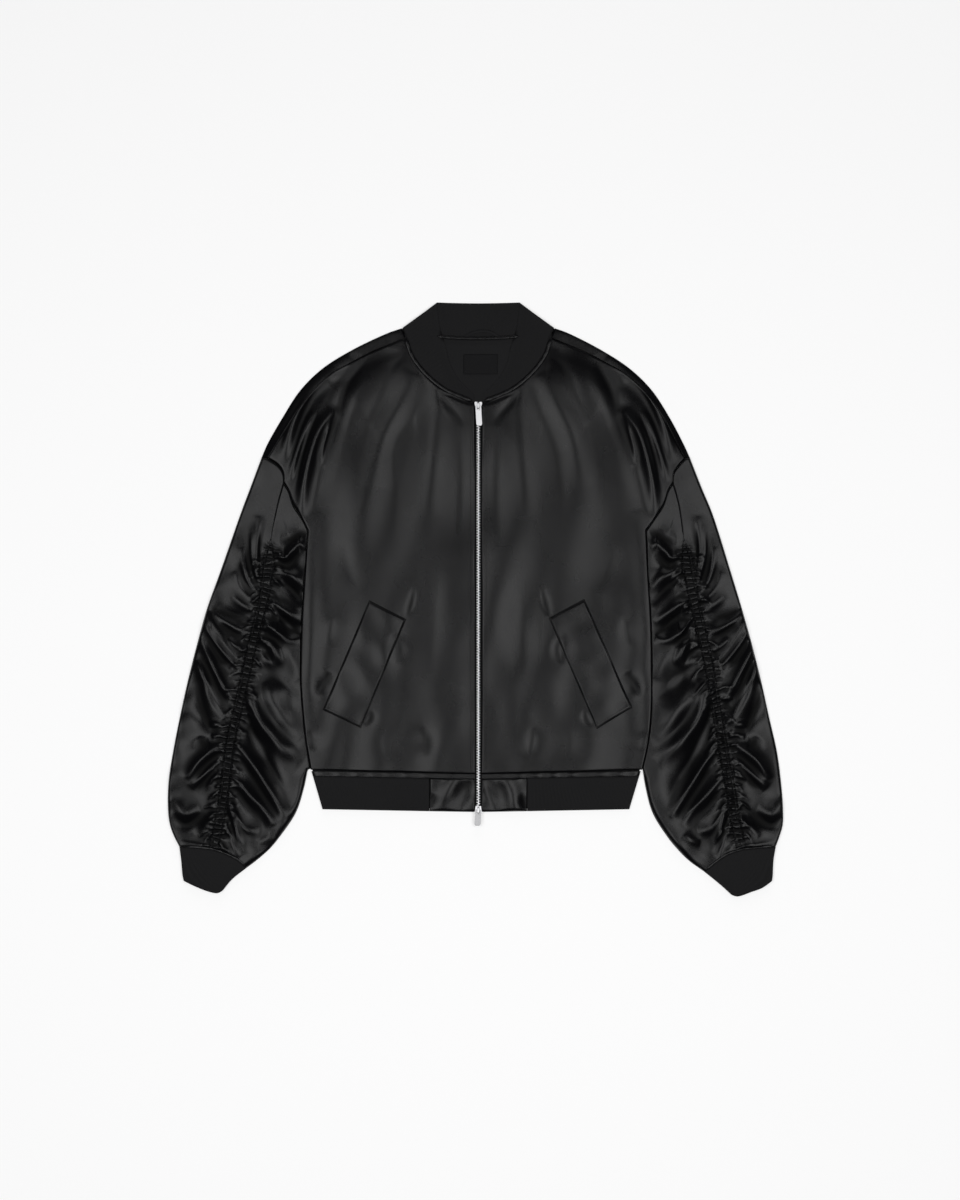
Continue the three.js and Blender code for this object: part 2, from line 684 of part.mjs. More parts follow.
// Sleeve: two top panels with the ruched strip between them, on a flat back panel
function makeSleeve(side, seams) {
  const folds = relief(SLEEVE_FOLDS, side);
  const columns = crowded(7, 0.4);
  const rows = sharesThrough([RUCHE_START - RUCHE_OPENS, RUCHE_START, 1], [24, 2, 5], 0.1);

  const outerSheet = patch(
    (share) => lerpPoint(seams.sleeveOutside(0), seams.rucheOutside(0), seams.cuffSeamOuter, share),
    seams.sleeveTop,
    seams.sleeveOutside,
    seams.rucheOutside,
  );
  const margins = { first: HALF_GAP, other: HALF_GAP, bottom: HALF_GAP, top: ARMHOLE_ROOM };
  const outerTop = panelTop(inset(outerSheet, margins), folds, {
    first: FOLDED_EDGE,
    other: RUCHED_EDGE,
    bottom: SEWN_EDGE,
    top: SEWN_EDGE,
  });
  addPiece("sleeve_outer_" + side.name, wall(columns, rows, outerTop, lowered(outerTop, SATIN)), satin);

  const innerSheet = patch(
    (share) => lerpPoint(seams.rucheInside(0), seams.sleeveInside(0), seams.cuffSeamInner, share),
    seams.armholeFront,
    seams.rucheInside,
    seams.sleeveInside,
  );
  const innerTop = panelTop(inset(innerSheet, margins), folds, {
    first: RUCHED_EDGE,
    other: UNDER_BODY,
    bottom: SEWN_EDGE,
    top: SEWN_EDGE,
  });
  addPiece("sleeve_inner_" + side.name, wall(columns, rows, innerTop, lowered(innerTop, SATIN)), satin);

  const strip = (along, over) => {
    const share = along * (RUCHE_START - 0.01);
    const reach = Math.max(seams.halfWidth(share) - RUCHE_ROOM, 0.6);
    return seams.ruchedSeam(share).addScaledVector(
      leftOf(seams.ruchedSeam, share),
      lerp(-reach, reach, over),
    );
  };
  const gather = (along, over) => {
    const uneven = 0.72 + 0.28 * Math.sin(along * 97) * Math.sin(along * 41);
    return GATHER_RISE * uneven * (over === 0.5 ? 1 : 0.45);
  };
  const ruche = ridgedBand(GATHERS, 2, strip, () => RUCHE_TOP - GATHER_RISE - SATIN, SATIN, gather);
  addPiece("ruche_" + side.name, ruche, satin);

  const outline = [
    ...pointsOn(backwards(seams.sleeveOutside), 22),
    ...pointsOn(seams.cuffSeam, 7),
    ...pointsOn(seams.sleeveInside, 22),
    ...pointsOn(backwards(seams.armhole), 10),
  ];
  addPiece("sleeve_back_" + side.name, flatLayer(shrunk(outline, HALF_GAP), 0, BACK_TOP), satin);
}

// A seam's points, stretched to end at two given points
function lerpPoint(start, end, seam, share) {
  const point = seam(share);
  point.addScaledVector(start.clone().sub(seam(0)), 1 - share);
  return point.addScaledVector(end.clone().sub(seam(1)), share);
}

// Cuff: a flattened rib tube, open at both ends, ribbed on its upper side
function makeCuff(side, seams) {
  const edges = [CUFF_END, CUFF_OUTER_SIDE, CUFF_INNER_SIDE].map((rows) => curveOf(rows, side));
  const [end, outerSide, innerSide] = edges;
  const sheet = inset(patch(end, seams.cuffSeam, backwards(outerSide), backwards(innerSide)), {
    first: 0,
    other: 0,
    bottom: 0,
    top: SEAM_GAP,
  });
  const width = seams.cuffSeam(0).distanceTo(seams.cuffSeam(1));
  const ribs = Math.round(width / RIB_PITCH);
  const flatTop = 2 * RIB + CUFF.slot;
  const profile = [[0, CUFF.round], [CUFF.round / width, 0], [1 - CUFF.round / width, 0]];
  profile.push([1, CUFF.round], [1, flatTop - CUFF.round]);
  for (let i = 2 * ribs; i >= 0; i--) {
    const share = lerp(CUFF.ends, 1 - CUFF.ends, i / (2 * ribs));
    profile.push([share, flatTop + (i % 2 ? RIB_RISE : 0)]);
  }
  profile.push([0, flatTop - CUFF.round]);
  const slot = [
    [CUFF.ends, RIB],
    [CUFF.ends, RIB + CUFF.slot],
    [1 - CUFF.ends, RIB + CUFF.slot],
    [1 - CUFF.ends, RIB],
  ];
  const shape = new THREE.Shape(profile.map(([share, z]) => new THREE.Vector2(share * width, z)));
  shape.holes.push(new THREE.Path(slot.map(([share, z]) => new THREE.Vector2(share * width, z))));
  const extruded = { depth: 1, steps: CUFF.steps, bevelEnabled: false };
  const geometry = new THREE.ExtrudeGeometry(shape, extruded);
  const position = geometry.getAttribute("position");
  for (let i = 0; i < position.count; i++) {
    const point = sheet(position.getX(i) / width, 1 - position.getZ(i));
    position.setXYZ(i, point.x, point.y, position.getY(i));
  }
  addPiece("cuff_" + side.name, turnedOut(geometry, side.sign > 0), ribKnit);
}

// A geometry whose shape was laid out anew, with only its positions, turned inside out if asked
function turnedOut(geometry, turn) {
  geometry.deleteAttribute("normal");
  geometry.deleteAttribute("uv");
  const merged = mergeVertices(geometry, 1e-4);
  const index = Array.from(merged.index.array);
  for (let i = 0; turn && i < index.length; i += 3)
    [index[i + 1], index[i + 2]] = [index[i + 2], index[i + 1]];
  merged.setIndex(index);
  merged.computeVertexNormals();
  return merged;
}

// The back neck seam at a distance across the body, moved up or down
function backNeckAt(x, shift) {
  const rise = (Math.abs(x) / COLLAR_FOLD.out) ** BACK_NECK.curve;
  return at(x, lerp(BACK_NECK.y, COLLAR_FOLD.y - 1, rise) + shift);
}

// Collar: the back of the band, seen inside the neck, and a front band on each side
function makeCollarBack() {
  const edge = (share) => backNeckAt(lerp(-COLLAR_FOLD.out, COLLAR_FOLD.out, share), HALF_GAP);
  const half = COLLAR_FREE_EDGE[0].out;
  const top = (share) => {
    const sag = COLLAR.sag * Math.sin(Math.PI * share);
    return at(lerp(-half, half, share), COLLAR.topY - sag);
  };
  const place = (along, over) => edge(along).lerp(top(along), over);
  const ribs = Math.round(COLLAR.backRun / RIB_PITCH);
  const geometry = ridgedBand(ribs, 1, place, () => 0, RIB, () => RIB_RISE);
  addPiece("collar_back", geometry, ribKnit);
}

function makeCollarFront(side, seams) {
  const free = curveOf(COLLAR_FREE_EDGE, side);
  const sewn = backwards(curveOf([...NECK_SEAM, COLLAR_FOLD], side));
  const inward = shifted(sewn, () => side.sign * -PIPING.room);
  const place = (along, over) => {
    const share = along * COLLAR.frontEnds;
    return inward(share).lerp(free(share), over);
  };
  const ribs = Math.round(COLLAR.frontRun / RIB_PITCH);
  const geometry = ridgedBand(ribs, 1, place, () => COLLAR_FLOOR, RIB, () => RIB_RISE);
  addPiece("collar_front_" + side.name, geometry, ribKnit);
}

// The satin roll along the neck seam
function makePiping(side, seams) {
  const section = new THREE.Shape(
    Array.from({ length: PIPING.sides }, (_, i) => {
      const angle = (2 * Math.PI * i) / PIPING.sides;
      return new THREE.Vector2(PIPING.radius * Math.cos(angle), PIPING.radius * Math.sin(angle));
    }),
  );
  const points = Array.from({ length: 12 }, (_, i) =>
    seams.neck(lerp(PIPING.starts, PIPING.ends, i / 11)).setZ(PIPING.height),
  );
  const path = new THREE.CatmullRomCurve3(points, false, "centripetal");
  const geometry = new THREE.ExtrudeGeometry(section, { steps: 20, extrudePath: path });
  addPiece("neck_piping_" + side.name, geometry, satin);
}

// What shows inside the neck: the lining with its facing, the bare label and the hanger loop
function makeNeckInside(seams) {
  const left = pointsOn(shifted(seams.left.neck, () => -PIPING.room), 14);
  const right = pointsOn(shifted(seams.right.neck, () => PIPING.room), 14).reverse();
  const top = BACK_NECK.y - HALF_GAP;
  const clearOfZip = TAPE.width - 4;
  const below = [...left, ...right].filter(
    (point) => point.y < top - 2 && Math.abs(point.x) > clearOfZip,
  );
  const middle = left.length - 1;
  const corners = [at(-LINING_HALF, top), at(LINING_HALF, top)];
  const outline = [...below.slice(0, middle), ...corners, ...below.slice(middle)];
  addPiece("neck_lining", flatLayer(outline, LAID, FACING_TOP), lining);

  const label = new THREE.BoxGeometry(LABEL.width, LABEL.height, LABEL.thickness);
  label.translate(LABEL.x, LABEL.y, COLLAR_FLOOR + LABEL.thickness / 2);
  addPiece("neck_label", label, tapeCloth);

  const { half, halfThickness } = LOOP;
  const tape = new THREE.Shape([
    new THREE.Vector2(-halfThickness, -half),
    new THREE.Vector2(halfThickness, -half),
    new THREE.Vector2(halfThickness, half),
    new THREE.Vector2(-halfThickness, half),
  ]);
  const arc = new THREE.CatmullRomCurve3(LOOP_COURSE.map(({ x, y, z }) => new THREE.Vector3(x, y, z)));
  const loop = new THREE.ExtrudeGeometry(tape, { steps: 14, extrudePath: arc });
  addPiece("hanger_loop", loop, satin);
}

// Hem: a rounded satin strip under the body, the rib band, and a satin block beside the zip
function makeHem(side) {
  const corner = HEM_SIDE[side.name];
  const sideX = (y) => {
    const share = (HEM_SEAM.sideY - y) / (HEM_SEAM.sideY - HEM_BOTTOM.sideY);
    return lerp(corner.top, corner.bottom, share);
  };
  const stripSheet = (across, up) => {
    const top = hemY(HEM_SEAM, across * corner.top, side) - HALF_GAP;
    const y = top - (1 - up) * (HEM_STRIP.width - SEAM_GAP);
    return at(side.sign * lerp(HEM_ZIP_GAP, sideX(y), across), y);
  };
  const stripOuter = (across, up) => {
    const point = stripSheet(across, up);
    const rolled = HEM_STRIP.edge + HEM_STRIP.roll * Math.sin(Math.PI * up);
    const ended = rounding((1 - across) * corner.top, HEM_STRIP.endReach);
    return [point.x, point.y, Math.max(lerp(HEM_STRIP.endTop, rolled, ended), HEM_STRIP.least)];
  };
  const strip = wall(crowded(9, 0.3), crowded(4, 0), stripOuter, lowered(stripOuter, SATIN));
  addPiece("hem_strip_" + side.name, strip, satin);

  const underStrip = (out) => hemY(HEM_SEAM, out, side) - HEM_STRIP.width - HALF_GAP;
  const ribStart = HEM_BLOCK.out + SEAM_GAP;
  const band = (along, over) => {
    const out = lerp(ribStart, corner.top, along);
    const y = lerp(underStrip(out), hemY(HEM_BOTTOM, out, side), over);
    return at(side.sign * lerp(ribStart, sideX(y) - HALF_GAP, along), y);
  };
  const ribs = Math.round((corner.top - ribStart) / RIB_PITCH);
  const rib = ridgedBand(ribs, 1, band, () => RIB + SEAM_GAP, RIB, () => RIB_RISE);
  addPiece("hem_rib_" + side.name, rib, ribKnit);

  const blockWidth = HEM_BLOCK.out - HEM_ZIP_GAP;
  const blockHeight = underStrip(0) - HEM_BOTTOM.zipY;
  const blockOuter = (across, up) => {
    const out = lerp(HEM_ZIP_GAP, HEM_BLOCK.out, across);
    const y = lerp(hemY(HEM_BOTTOM, out, side), underStrip(out), up);
    const folded = rounding(up * blockHeight, HEM_BLOCK.round);
    const sewn = rounding((1 - across) * blockWidth + HEM_BLOCK.sewn, HEM_BLOCK.round);
    return [side.sign * out, y, lerp(HEM_BLOCK.edge, HEM_BLOCK.top, folded * sewn)];
  };
  const block = wall(crowded(6, 0.3), crowded(6, 0.4), blockOuter, lowered(blockOuter, SATIN));
  addPiece("hem_block_" + side.name, block, satin);
}

function makeHemBack() {
  const backShorter = 1;
  const bottom = HEM_BOTTOM.sideY + backShorter;
  const top = BODY_SIDE_EDGE.at(-1).y - SEAM_GAP;
  const corners = [
    at(-HEM_SIDE.left.bottom, bottom),
    at(0, HEM_BOTTOM.zipY + backShorter),
    at(HEM_SIDE.right.bottom, bottom),
    at(HEM_SIDE.right.top, top),
    at(-HEM_SIDE.left.top, top),
  ];
  addPiece("hem_rib_back", flatLayer(corners, 0, RIB), ribKnit);
}

// Back panel: all of the body's outline, under everything else
function makeBack(seams) {
  const half = (own) => [
    ...pointsOn(own.shoulderOutline, 12).slice(1),
    ...pointsOn(own.armhole, 10),
    ...pointsOn(own.bodySide, 9),
    own.bodySide(1),
  ];
  const neckLine = Array.from({ length: 15 }, (_, i) =>
    backNeckAt(lerp(-COLLAR_FOLD.out, COLLAR_FOLD.out, i / 14), -SEAM_GAP),
  );
  const outline = [
    ...neckLine,
    ...half(seams.right),
    ...half(seams.left).reverse(),
  ];
  addPiece("back_panel", flatLayer(shrunk(outline, HALF_GAP), 0, BACK_TOP), satin);
}

// Welt pockets: a flap laid on the front, made from the front's own surface moved out
function makePocket(side) {
  const corners = POCKETS[side.name];
  const top = straight(at(corners.x1, corners.y1), at(corners.x2, corners.y2));
  const bottom = straight(at(corners.x4, corners.y4), at(corners.x3, corners.y3));
  const folds = relief([...SHOULDER_FOLDS, ...BODY_FOLDS], side);
  const outer = (across, up) => {
    const point = bottom(across).lerp(top(across), up);
    const front = PANEL_TOP + folds(point.x, point.y);
    const edge = Math.min(across, 1 - across) * POCKET.width;
    const rolled = rounding(edge + POCKET.edge, POCKET.round);
    return [point.x, point.y, front + POCKET.lift + POCKET.thickness * rolled];
  };
  const inner = lowered(outer, POCKET.thickness);
  addPiece("pocket_" + side.name, wall(crowded(6, 0.4), crowded(12, 0.2), outer, inner), satin);
}

// Zip: the tape and the closed chain, a slider at each end and its pull tab
function makeZip() {
  for (const side of SIDES) {
    const near = side.sign * HALF_GAP;
    const far = side.sign * (HALF_GAP + TAPE.width);
    const corners = [at(near, TAPE.bottom), at(far, TAPE.bottom), at(far, TAPE.top), at(near, TAPE.top)];
    const tape = flatLayer(corners, TAPE.floor, TAPE.floor + TAPE.thickness);
    addPiece("zip_tape_" + side.name, tape, tapeCloth);
  }
  const top = TOP_HINGE.y - SLIDER.length / 2 - SEAM_GAP;
  const bottom = BOTTOM_HINGE.y + SLIDER.length / 2 + SEAM_GAP;
  const { half, floor } = CHAIN;
  const section = [
    at(-half, bottom),
    at(half, bottom),
    at(half, top),
    at(-half, top),
  ];
  addPiece("zip_chain", flatLayer(section, floor, CHAIN.top), silver);
}

// Slider: a plate with two lobes at its mouth and a bridge that the pull tab hangs from
function makeSlider(name, hinge, mouth) {
  const { half, waist, length } = SLIDER;
  const outline = [
    [-waist, -0.5],
    [waist, -0.5],
    [waist + 0.3, -0.1],
    [half, 0.2],
    [half, 0.42],
    [half - 1, 0.5],
    [1.6, 0.47],
    [0, 0.38],
    [-1.6, 0.47],
    [1 - half, 0.5],
    [-half, 0.42],
    [-half, 0.2],
    [-waist - 0.3, -0.1],
  ].map(([x, share]) => at(mouth * x, hinge.y + mouth * share * length));
  const plate = flatLayer(outline, SLIDER.floor, SLIDER.top);
  const { reach, foot, rise, bar } = BRIDGE;
  const inside = reach - foot;
  const arch = new THREE.Shape(
    [
      [-reach, -0.6],
      [-inside, -0.6],
      [-inside, rise - bar - 0.5],
      [0.5 - inside, rise - bar],
      [inside - 0.5, rise - bar],
      [inside, rise - bar - 0.5],
      [inside, -0.6],
      [reach, -0.6],
      [reach, rise - 1.3],
      [reach - 1.3, rise],
      [1.3 - reach, rise],
      [-reach, rise - 1.3],
    ].map(([y, z]) => new THREE.Vector2(y, z)),
  );
  const bridge = new THREE.ExtrudeGeometry(arch, { depth: 2 * BRIDGE.half, bevelEnabled: false });
  bridge.rotateX(Math.PI / 2);
  bridge.rotateZ(Math.PI / 2);
  bridge.translate(-BRIDGE.half, hinge.y, SLIDER.top);
  addPiece(name, joined(plate, bridge), silver);
}

// Pull tab: a flat bare tab whose round bar lies under the slider's bridge
function makePull(name, hinge) {
  const { half, thickness, bar, window, windowHalf } = PULL;
  const place = (x, y) => new THREE.Vector2(x + hinge.lean * y, -y);
  const corner = 2.2;
  const outline = [
    place(-half + 1, -bar),
    place(half - 1, -bar),
    place(half, bar + 0.4),
    place(half, hinge.length - corner),
    place(half - 0.7, hinge.length - 0.7),
    place(half - corner, hinge.length),
    place(corner - half, hinge.length),
    place(0.7 - half, hinge.length - 0.7),
    place(-half, hinge.length - corner),
    place(-half, bar + 0.4),
  ];
  const shape = new THREE.Shape(outline);
  shape.holes.push(
    new THREE.Path([
      place(-windowHalf, bar),
      place(-windowHalf, window),
      place(windowHalf, window),
      place(windowHalf, bar),
    ]),
  );
  const tab = new THREE.ExtrudeGeometry(shape, { depth: thickness, bevelEnabled: false });
  tab.translate(0, hinge.y, SLIDER.top + PULL.lift - thickness / 2);
  addPiece(name, tab, silver);
}

const wasm = await Module();
wasm.setup();

function solidOf(geometry) {
  const bare = geometry.clone();
  bare.deleteAttribute("normal");
  bare.deleteAttribute("uv");
  const merged = mergeVertices(bare, 1e-4);
  return new wasm.Manifold(
    new wasm.Mesh({
      numProp: 3,
      vertProperties: merged.getAttribute("position").array,
      triVerts: new Uint32Array(merged.index.array),
    }),
  );
}

function joined(first, second) {
  const mesh = solidOf(first).add(solidOf(second)).getMesh();
  return closedGeometry(Array.from(mesh.vertProperties), Array.from(mesh.triVerts));
}

const seams = { left: seamsOf(SIDES[0]), right: seamsOf(SIDES[1]) };
makeBack(seams);
makeHemBack();
makeCollarBack();
makeNeckInside(seams);
for (const side of SIDES) {
  const own = seams[side.name];
  makeFront(side, own);
  makeShoulder(side, own);
  makeSleeve(side, own);
  makeCuff(side, own);
  makeCollarFront(side, own);
  makePiping(side, own);
  makeHem(side);
  makePocket(side);
}
makeZip();
makeSlider("slider_top", TOP_HINGE, 1);
makeSlider("slider_bottom", BOTTOM_HINGE, -1);
makePull("pull_top", TOP_HINGE);
makePull("pull_bottom", BOTTOM_HINGE);

export default jacket;
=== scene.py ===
# %% [markdown]
# # A black satin bomber jacket with ruched sleeves
# The jacket lies flat on its back with its zip closed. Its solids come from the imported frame,
# and this script dresses them: thin shells of satin with soft folds, rib knit, gathers, zip
# teeth and stitches. Shapes are worked out in millimetres, as a pattern cutter would, and
# turned into metres when a mesh is made.

# %% Frame and units
import math

import bmesh
import bpy
import numpy as np
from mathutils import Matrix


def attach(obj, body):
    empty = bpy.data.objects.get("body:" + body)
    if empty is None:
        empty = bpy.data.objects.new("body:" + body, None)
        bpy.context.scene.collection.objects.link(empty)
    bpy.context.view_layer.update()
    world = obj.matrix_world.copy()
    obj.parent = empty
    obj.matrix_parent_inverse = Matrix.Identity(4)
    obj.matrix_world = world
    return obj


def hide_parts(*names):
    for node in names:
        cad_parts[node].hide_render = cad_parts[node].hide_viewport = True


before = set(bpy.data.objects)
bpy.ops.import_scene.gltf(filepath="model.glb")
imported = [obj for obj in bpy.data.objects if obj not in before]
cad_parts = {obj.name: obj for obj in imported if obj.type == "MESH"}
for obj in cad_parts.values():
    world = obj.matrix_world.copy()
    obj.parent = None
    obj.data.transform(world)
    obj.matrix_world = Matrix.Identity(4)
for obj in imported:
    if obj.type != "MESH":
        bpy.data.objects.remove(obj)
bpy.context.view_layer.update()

MM = 0.001
SIDES = {"left": -1, "right": 1}

# %% [markdown]
# ## Camera, floor and light
# The jacket is shown from straight above as a flat lay. A long lens from far away keeps the
# outline free of perspective. The photograph's middle and its scale place the camera.

# %% Camera
PHOTO_HEIGHT_PX = 1200
MM_PER_PX = 1.35
ZIP_PX = 478.3
ORIGIN_PX = 598.6
VIEW_CENTRE = ((480 - ZIP_PX) * MM_PER_PX, (ORIGIN_PX - 600) * MM_PER_PX)
CAMERA_HEIGHT = 4.2
SENSOR = 36.0
GARMENT_TOP = 0.008

camera_data = bpy.data.cameras.new("flat_lay_camera")
camera_data.sensor_width = SENSOR
camera_data.sensor_height = SENSOR
field = PHOTO_HEIGHT_PX * MM_PER_PX * MM
camera_data.lens = SENSOR * (CAMERA_HEIGHT - GARMENT_TOP) / field
camera = bpy.data.objects.new("flat_lay_camera", camera_data)
camera.location = (VIEW_CENTRE[0] * MM, VIEW_CENTRE[1] * MM, CAMERA_HEIGHT)
bpy.context.scene.collection.objects.link(camera)
bpy.context.scene.camera = camera
print("lens:", round(camera_data.lens, 1), "mm")

# %% Floor
FLOOR_HALF = 6.0
FLOOR_DROP = 0.0002
FLOOR_LOOKS = {
    "Base Color": (0.46, 0.46, 0.46, 1),
    "Emission Color": (1, 1, 1, 1),
    "Emission Strength": 0.51,
    "Roughness": 0.9,
    "Specular IOR Level": 0.1,
}


def set_inputs(node, values):
    """Gives inputs of a shader node their values."""
    for title, value in values.items():
        node.inputs[title].default_value = value


floor_mesh = bpy.data.meshes.new("floor")
corners = [(-1, -1), (1, -1), (1, 1), (-1, 1)]
corners = [(x * FLOOR_HALF, y * FLOOR_HALF, -FLOOR_DROP) for x, y in corners]
floor_mesh.from_pydata(corners, [], [(0, 1, 2, 3)])
floor = bpy.data.objects.new("floor", floor_mesh)
bpy.context.scene.collection.objects.link(floor)

floor_paint = bpy.data.materials.new("white_floor")
floor_paint.use_nodes = True
set_inputs(floor_paint.node_tree.nodes["Principled BSDF"], FLOOR_LOOKS)
floor_mesh.materials.append(floor_paint)
print("floor side:", 2 * FLOOR_HALF, "m")

# %% [markdown]
# Satin shows its form by what it mirrors. Two long softboxes hang over the sides with a gap over
# the zip, so the sides are bright, the middle is a little darker, and the flanks of the folds
# mirror the dim room and fall to black. The boxes face straight down. A weak lamp at the
# collar's end casts a soft shadow.

# %% Lights
LAMPS = [
    {"name": "left_box", "at": (-1.06, -0.39, 3.0), "aim": None, "size": (1.36, 2.12), "watts": 53},
    {"name": "right_box", "at": (1.06, -0.39, 3.0), "aim": None, "size": (1.36, 2.12), "watts": 53},
    {"name": "head_side", "at": (0.0, 3.6, 1.7), "aim": (0, 0, 0), "size": (2.2, 2.2), "watts": 26},
]


def add_lamp(name, at, aim, size, watts):
    data = bpy.data.lights.new(name, "AREA")
    data.shape = "RECTANGLE"
    data.size, data.size_y = size
    data.energy = watts
    lamp = bpy.data.objects.new(name, data)
    lamp.location = at
    if aim:
        away = np.array(at, float) - np.array(aim, float)
        tilt = math.atan2(math.hypot(away[0], away[1]), away[2])
        lamp.rotation_euler = (tilt, 0, math.atan2(away[0], -away[1]))
    lamp.visible_camera = False
    bpy.context.scene.collection.objects.link(lamp)


for lamp in LAMPS:
    add_lamp(**lamp)

world = bpy.data.worlds.new("studio")
bpy.context.scene.world = world
world.use_nodes = True
tree = world.node_tree
room = tree.nodes["Background"]
set_inputs(room, {"Color": (0.9, 0.9, 0.92, 1), "Strength": 0.1})
shown = tree.nodes.new("ShaderNodeBackground")
set_inputs(shown, {"Color": (0.93, 0.93, 0.93, 1), "Strength": 1.0})
path = tree.nodes.new("ShaderNodeLightPath")
choice = tree.nodes.new("ShaderNodeMixShader")
tree.links.new(path.outputs["Is Camera Ray"], choice.inputs[0])
tree.links.new(room.outputs[0], choice.inputs[1])
tree.links.new(shown.outputs[0], choice.inputs[2])
tree.links.new(choice.outputs[0], tree.nodes["World Output"].inputs["Surface"])
bpy.context.scene.view_settings.view_transform = "Standard"
print("lamps:", len(LAMPS))

# %% [markdown]
# ## Seam lines
# A pattern is a set of outlines. Each line here is a short table of points, as the distance
# out from the zip and the height up the jacket, and a smooth curve runs through them. Where
# the two halves lie differently, a row has one value for each half.

# %% Tables of the seams
# A row is the distance out from the zip and the height, then any values of the right half's own.
SEAM_TABLES = {
    "neck": [
        (5, 265.8), (26, 274), (43, 281.6), (60.3, 293.8), (77.6, 310.8), (90.9, 330.2), (98.5, 353),
    ],
    "shoulder": [
        (98.5, 353), (146.7, 332.9), (177.3, 316.7), (196.2, 306), (215, 290), (242.7, 257),
        (285, 189.6, 279),
    ],
    "shoulder_outline": [
        (103.7, 365.3), (122, 359, 121), (172, 335.2, 167.5), (211, 310.6, 205), (240.5, 281.6, 234.5),
        (265, 243.9, 259), (285, 208.8, 277.5), (293, 190.5, 286),
    ],
    "armhole_shoulder": [
        (293, 190.5, 286), (285, 189.6, 279),
    ],
    "armhole_top": [
        (285, 189.6, 279), (269.9, 179.6), (264, 170), (263, 156.9),
    ],
    "armhole_front": [
        (263, 156.9), (256.9, 147), (250.4, 127.7), (239.6, 110.4), (229.9, 91.3, 226.5),
    ],
    "body_side": [
        (229.9, 91.3, 226.5), (234, 34.6, 229), (238.4, -28.9, 233), (240, -107, 234.5),
        (236.9, -154.4, 233.5), (232.2, -195.9, 229), (226.5, -231, 221.5),
    ],
    "sleeve_outer": [
        (293, 190.5, 286), (308.5, 149, 302.3), (321, 115.6, 316.2), (349.4, 34.6, 341.8),
        (366.9, -14, 356.5), (380.4, -62.6, 370.2), (392.6, -111, 382.3), (403.4, -159.8, 393.1),
        (412.8, -208, 403.9), (418.6, -246, 409), (419.6, -283, 412), (416.9, -305.6, 411.6),
        (411, -322, 407), (404, -335.5, 402),
    ],
    "sleeve_inner": [
        (230.5, -231, 222), (236, -257, 226.5), (246.7, -289.4, 235.5), (268.4, -321.8, 255.4),
        (281.9, -338, 268.5), (300, -354, 284.5), (314, -364.5, 306, -369.5),
    ],
    "ruched": [
        (357.8, -339.4, 356), (348.7, -296.6, 346), (343, -260.7, 341), (338.6, -222.3, 334),
        (332.9, -184.1, 328), (324, -145.9, 321), (312, -92.6), (302.3, -49.4, 303), (291.5, -8.4, 293),
        (284.5, 34, 285), (280.7, 75.9, 278.5), (271, 127.7), (263, 156.9),
    ],
    "cuff_outer": [
        (404, -335.5, 402), (380.2, -337.1, 379), (357.8, -339.4, 356),
    ],
    "cuff_inner": [
        (357.8, -339.4, 356), (339.7, -346, 337), (321.7, -356, 318, -359), (314, -364.5, 306, -369.5),
    ],
    "cuff_outer_side": [
        (404, -335.5, 402), (401.6, -354, 399), (399.8, -374, 398), (398.3, -381, 397.2),
    ],
    "cuff_inner_side": [
        (314, -364.5, 306, -369.5), (332.9, -379.6, 327, -386.6), (345.3, -394.5, 342.3, -400.4),
    ],
    "cuff_end": [
        (398.3, -381, 397.2), (384.8, -387.7, 384, -390.5), (364.5, -395.7, 369.5, -396),
        (352.1, -397.8, 350, -402.3), (345.3, -394.5, 342.3, -400.4),
    ],
    "collar_free": [
        (55.8, 399.6), (50.6, 362), (44.5, 343), (38.2, 318.1), (27.4, 297.8), (12, 281.6), (2.5, 272.5),
    ],
}
COLLAR_FOLD = (103.7, 365.3)
print("seam tables:", len(SEAM_TABLES))


# %% Curves through the tables
def smooth_line(points, steps=36):
    """A centripetal Catmull-Rom curve through points, as a dense line of points."""
    points = np.array(points, float)
    before = 2 * points[0] - points[1]
    after = 2 * points[-1] - points[-2]
    held = np.vstack([before, points, after])
    t = np.linspace(0, 1, steps, endpoint=False)[:, None]
    pieces = []
    for p0, p1, p2, p3 in zip(held, held[1:], held[2:], held[3:]):
        d0, d1, d2 = (np.linalg.norm(b - a) ** 0.5 for a, b in ((p0, p1), (p1, p2), (p2, p3)))
        t1 = ((p1 - p0) / d0 - (p2 - p0) / (d0 + d1) + (p2 - p1) / d1) * d1
        t2 = ((p2 - p1) / d1 - (p3 - p1) / (d1 + d2) + (p3 - p2) / d2) * d1
        curve = p1 + t1 * t + (3 * (p2 - p1) - 2 * t1 - t2) * t**2 + (2 * (p1 - p2) + t1 + t2) * t**3
        pieces.append(curve)
    return np.vstack([*pieces, points[-1:]])


def on_half(row, side):
    """A table's row as a point on one half of the jacket."""
    out, y, *own = row
    if side == "right" and own:
        out = own[0]
        y = own[1] if len(own) > 1 else y
    return SIDES[side] * out, y


def seam(rows, side):
    """A seam table as a dense line on one half of the jacket."""
    return smooth_line([on_half(row, side) for row in rows])


def length_of(line):
    return float(np.linalg.norm(np.diff(line, axis=0), axis=1).sum())


def run_of(line):
    """How far along a line each of its points lies."""
    steps = np.linalg.norm(np.diff(line, axis=0), axis=1)
    return np.concatenate([[0], np.cumsum(steps)])


def shares_of(line):
    run = run_of(line)
    return run / run[-1]


def at_shares(line, shares):
    """Points of a line at shares of its length."""
    run = run_of(line)
    wanted = np.clip(shares, 0, 1) * run[-1]
    return np.stack([np.interp(wanted, run, line[:, k]) for k in range(line.shape[1])], axis=-1)


def at_shares_of(line, guide, shares):
    """Points of a line that was made from a guide, at shares of the guide's length."""
    run = shares_of(guide)
    return np.stack([np.interp(shares, run, line[:, k]) for k in range(2)], axis=-1)


def joined(*lines):
    return np.vstack([lines[0], *[line[1:] for line in lines[1:]]])


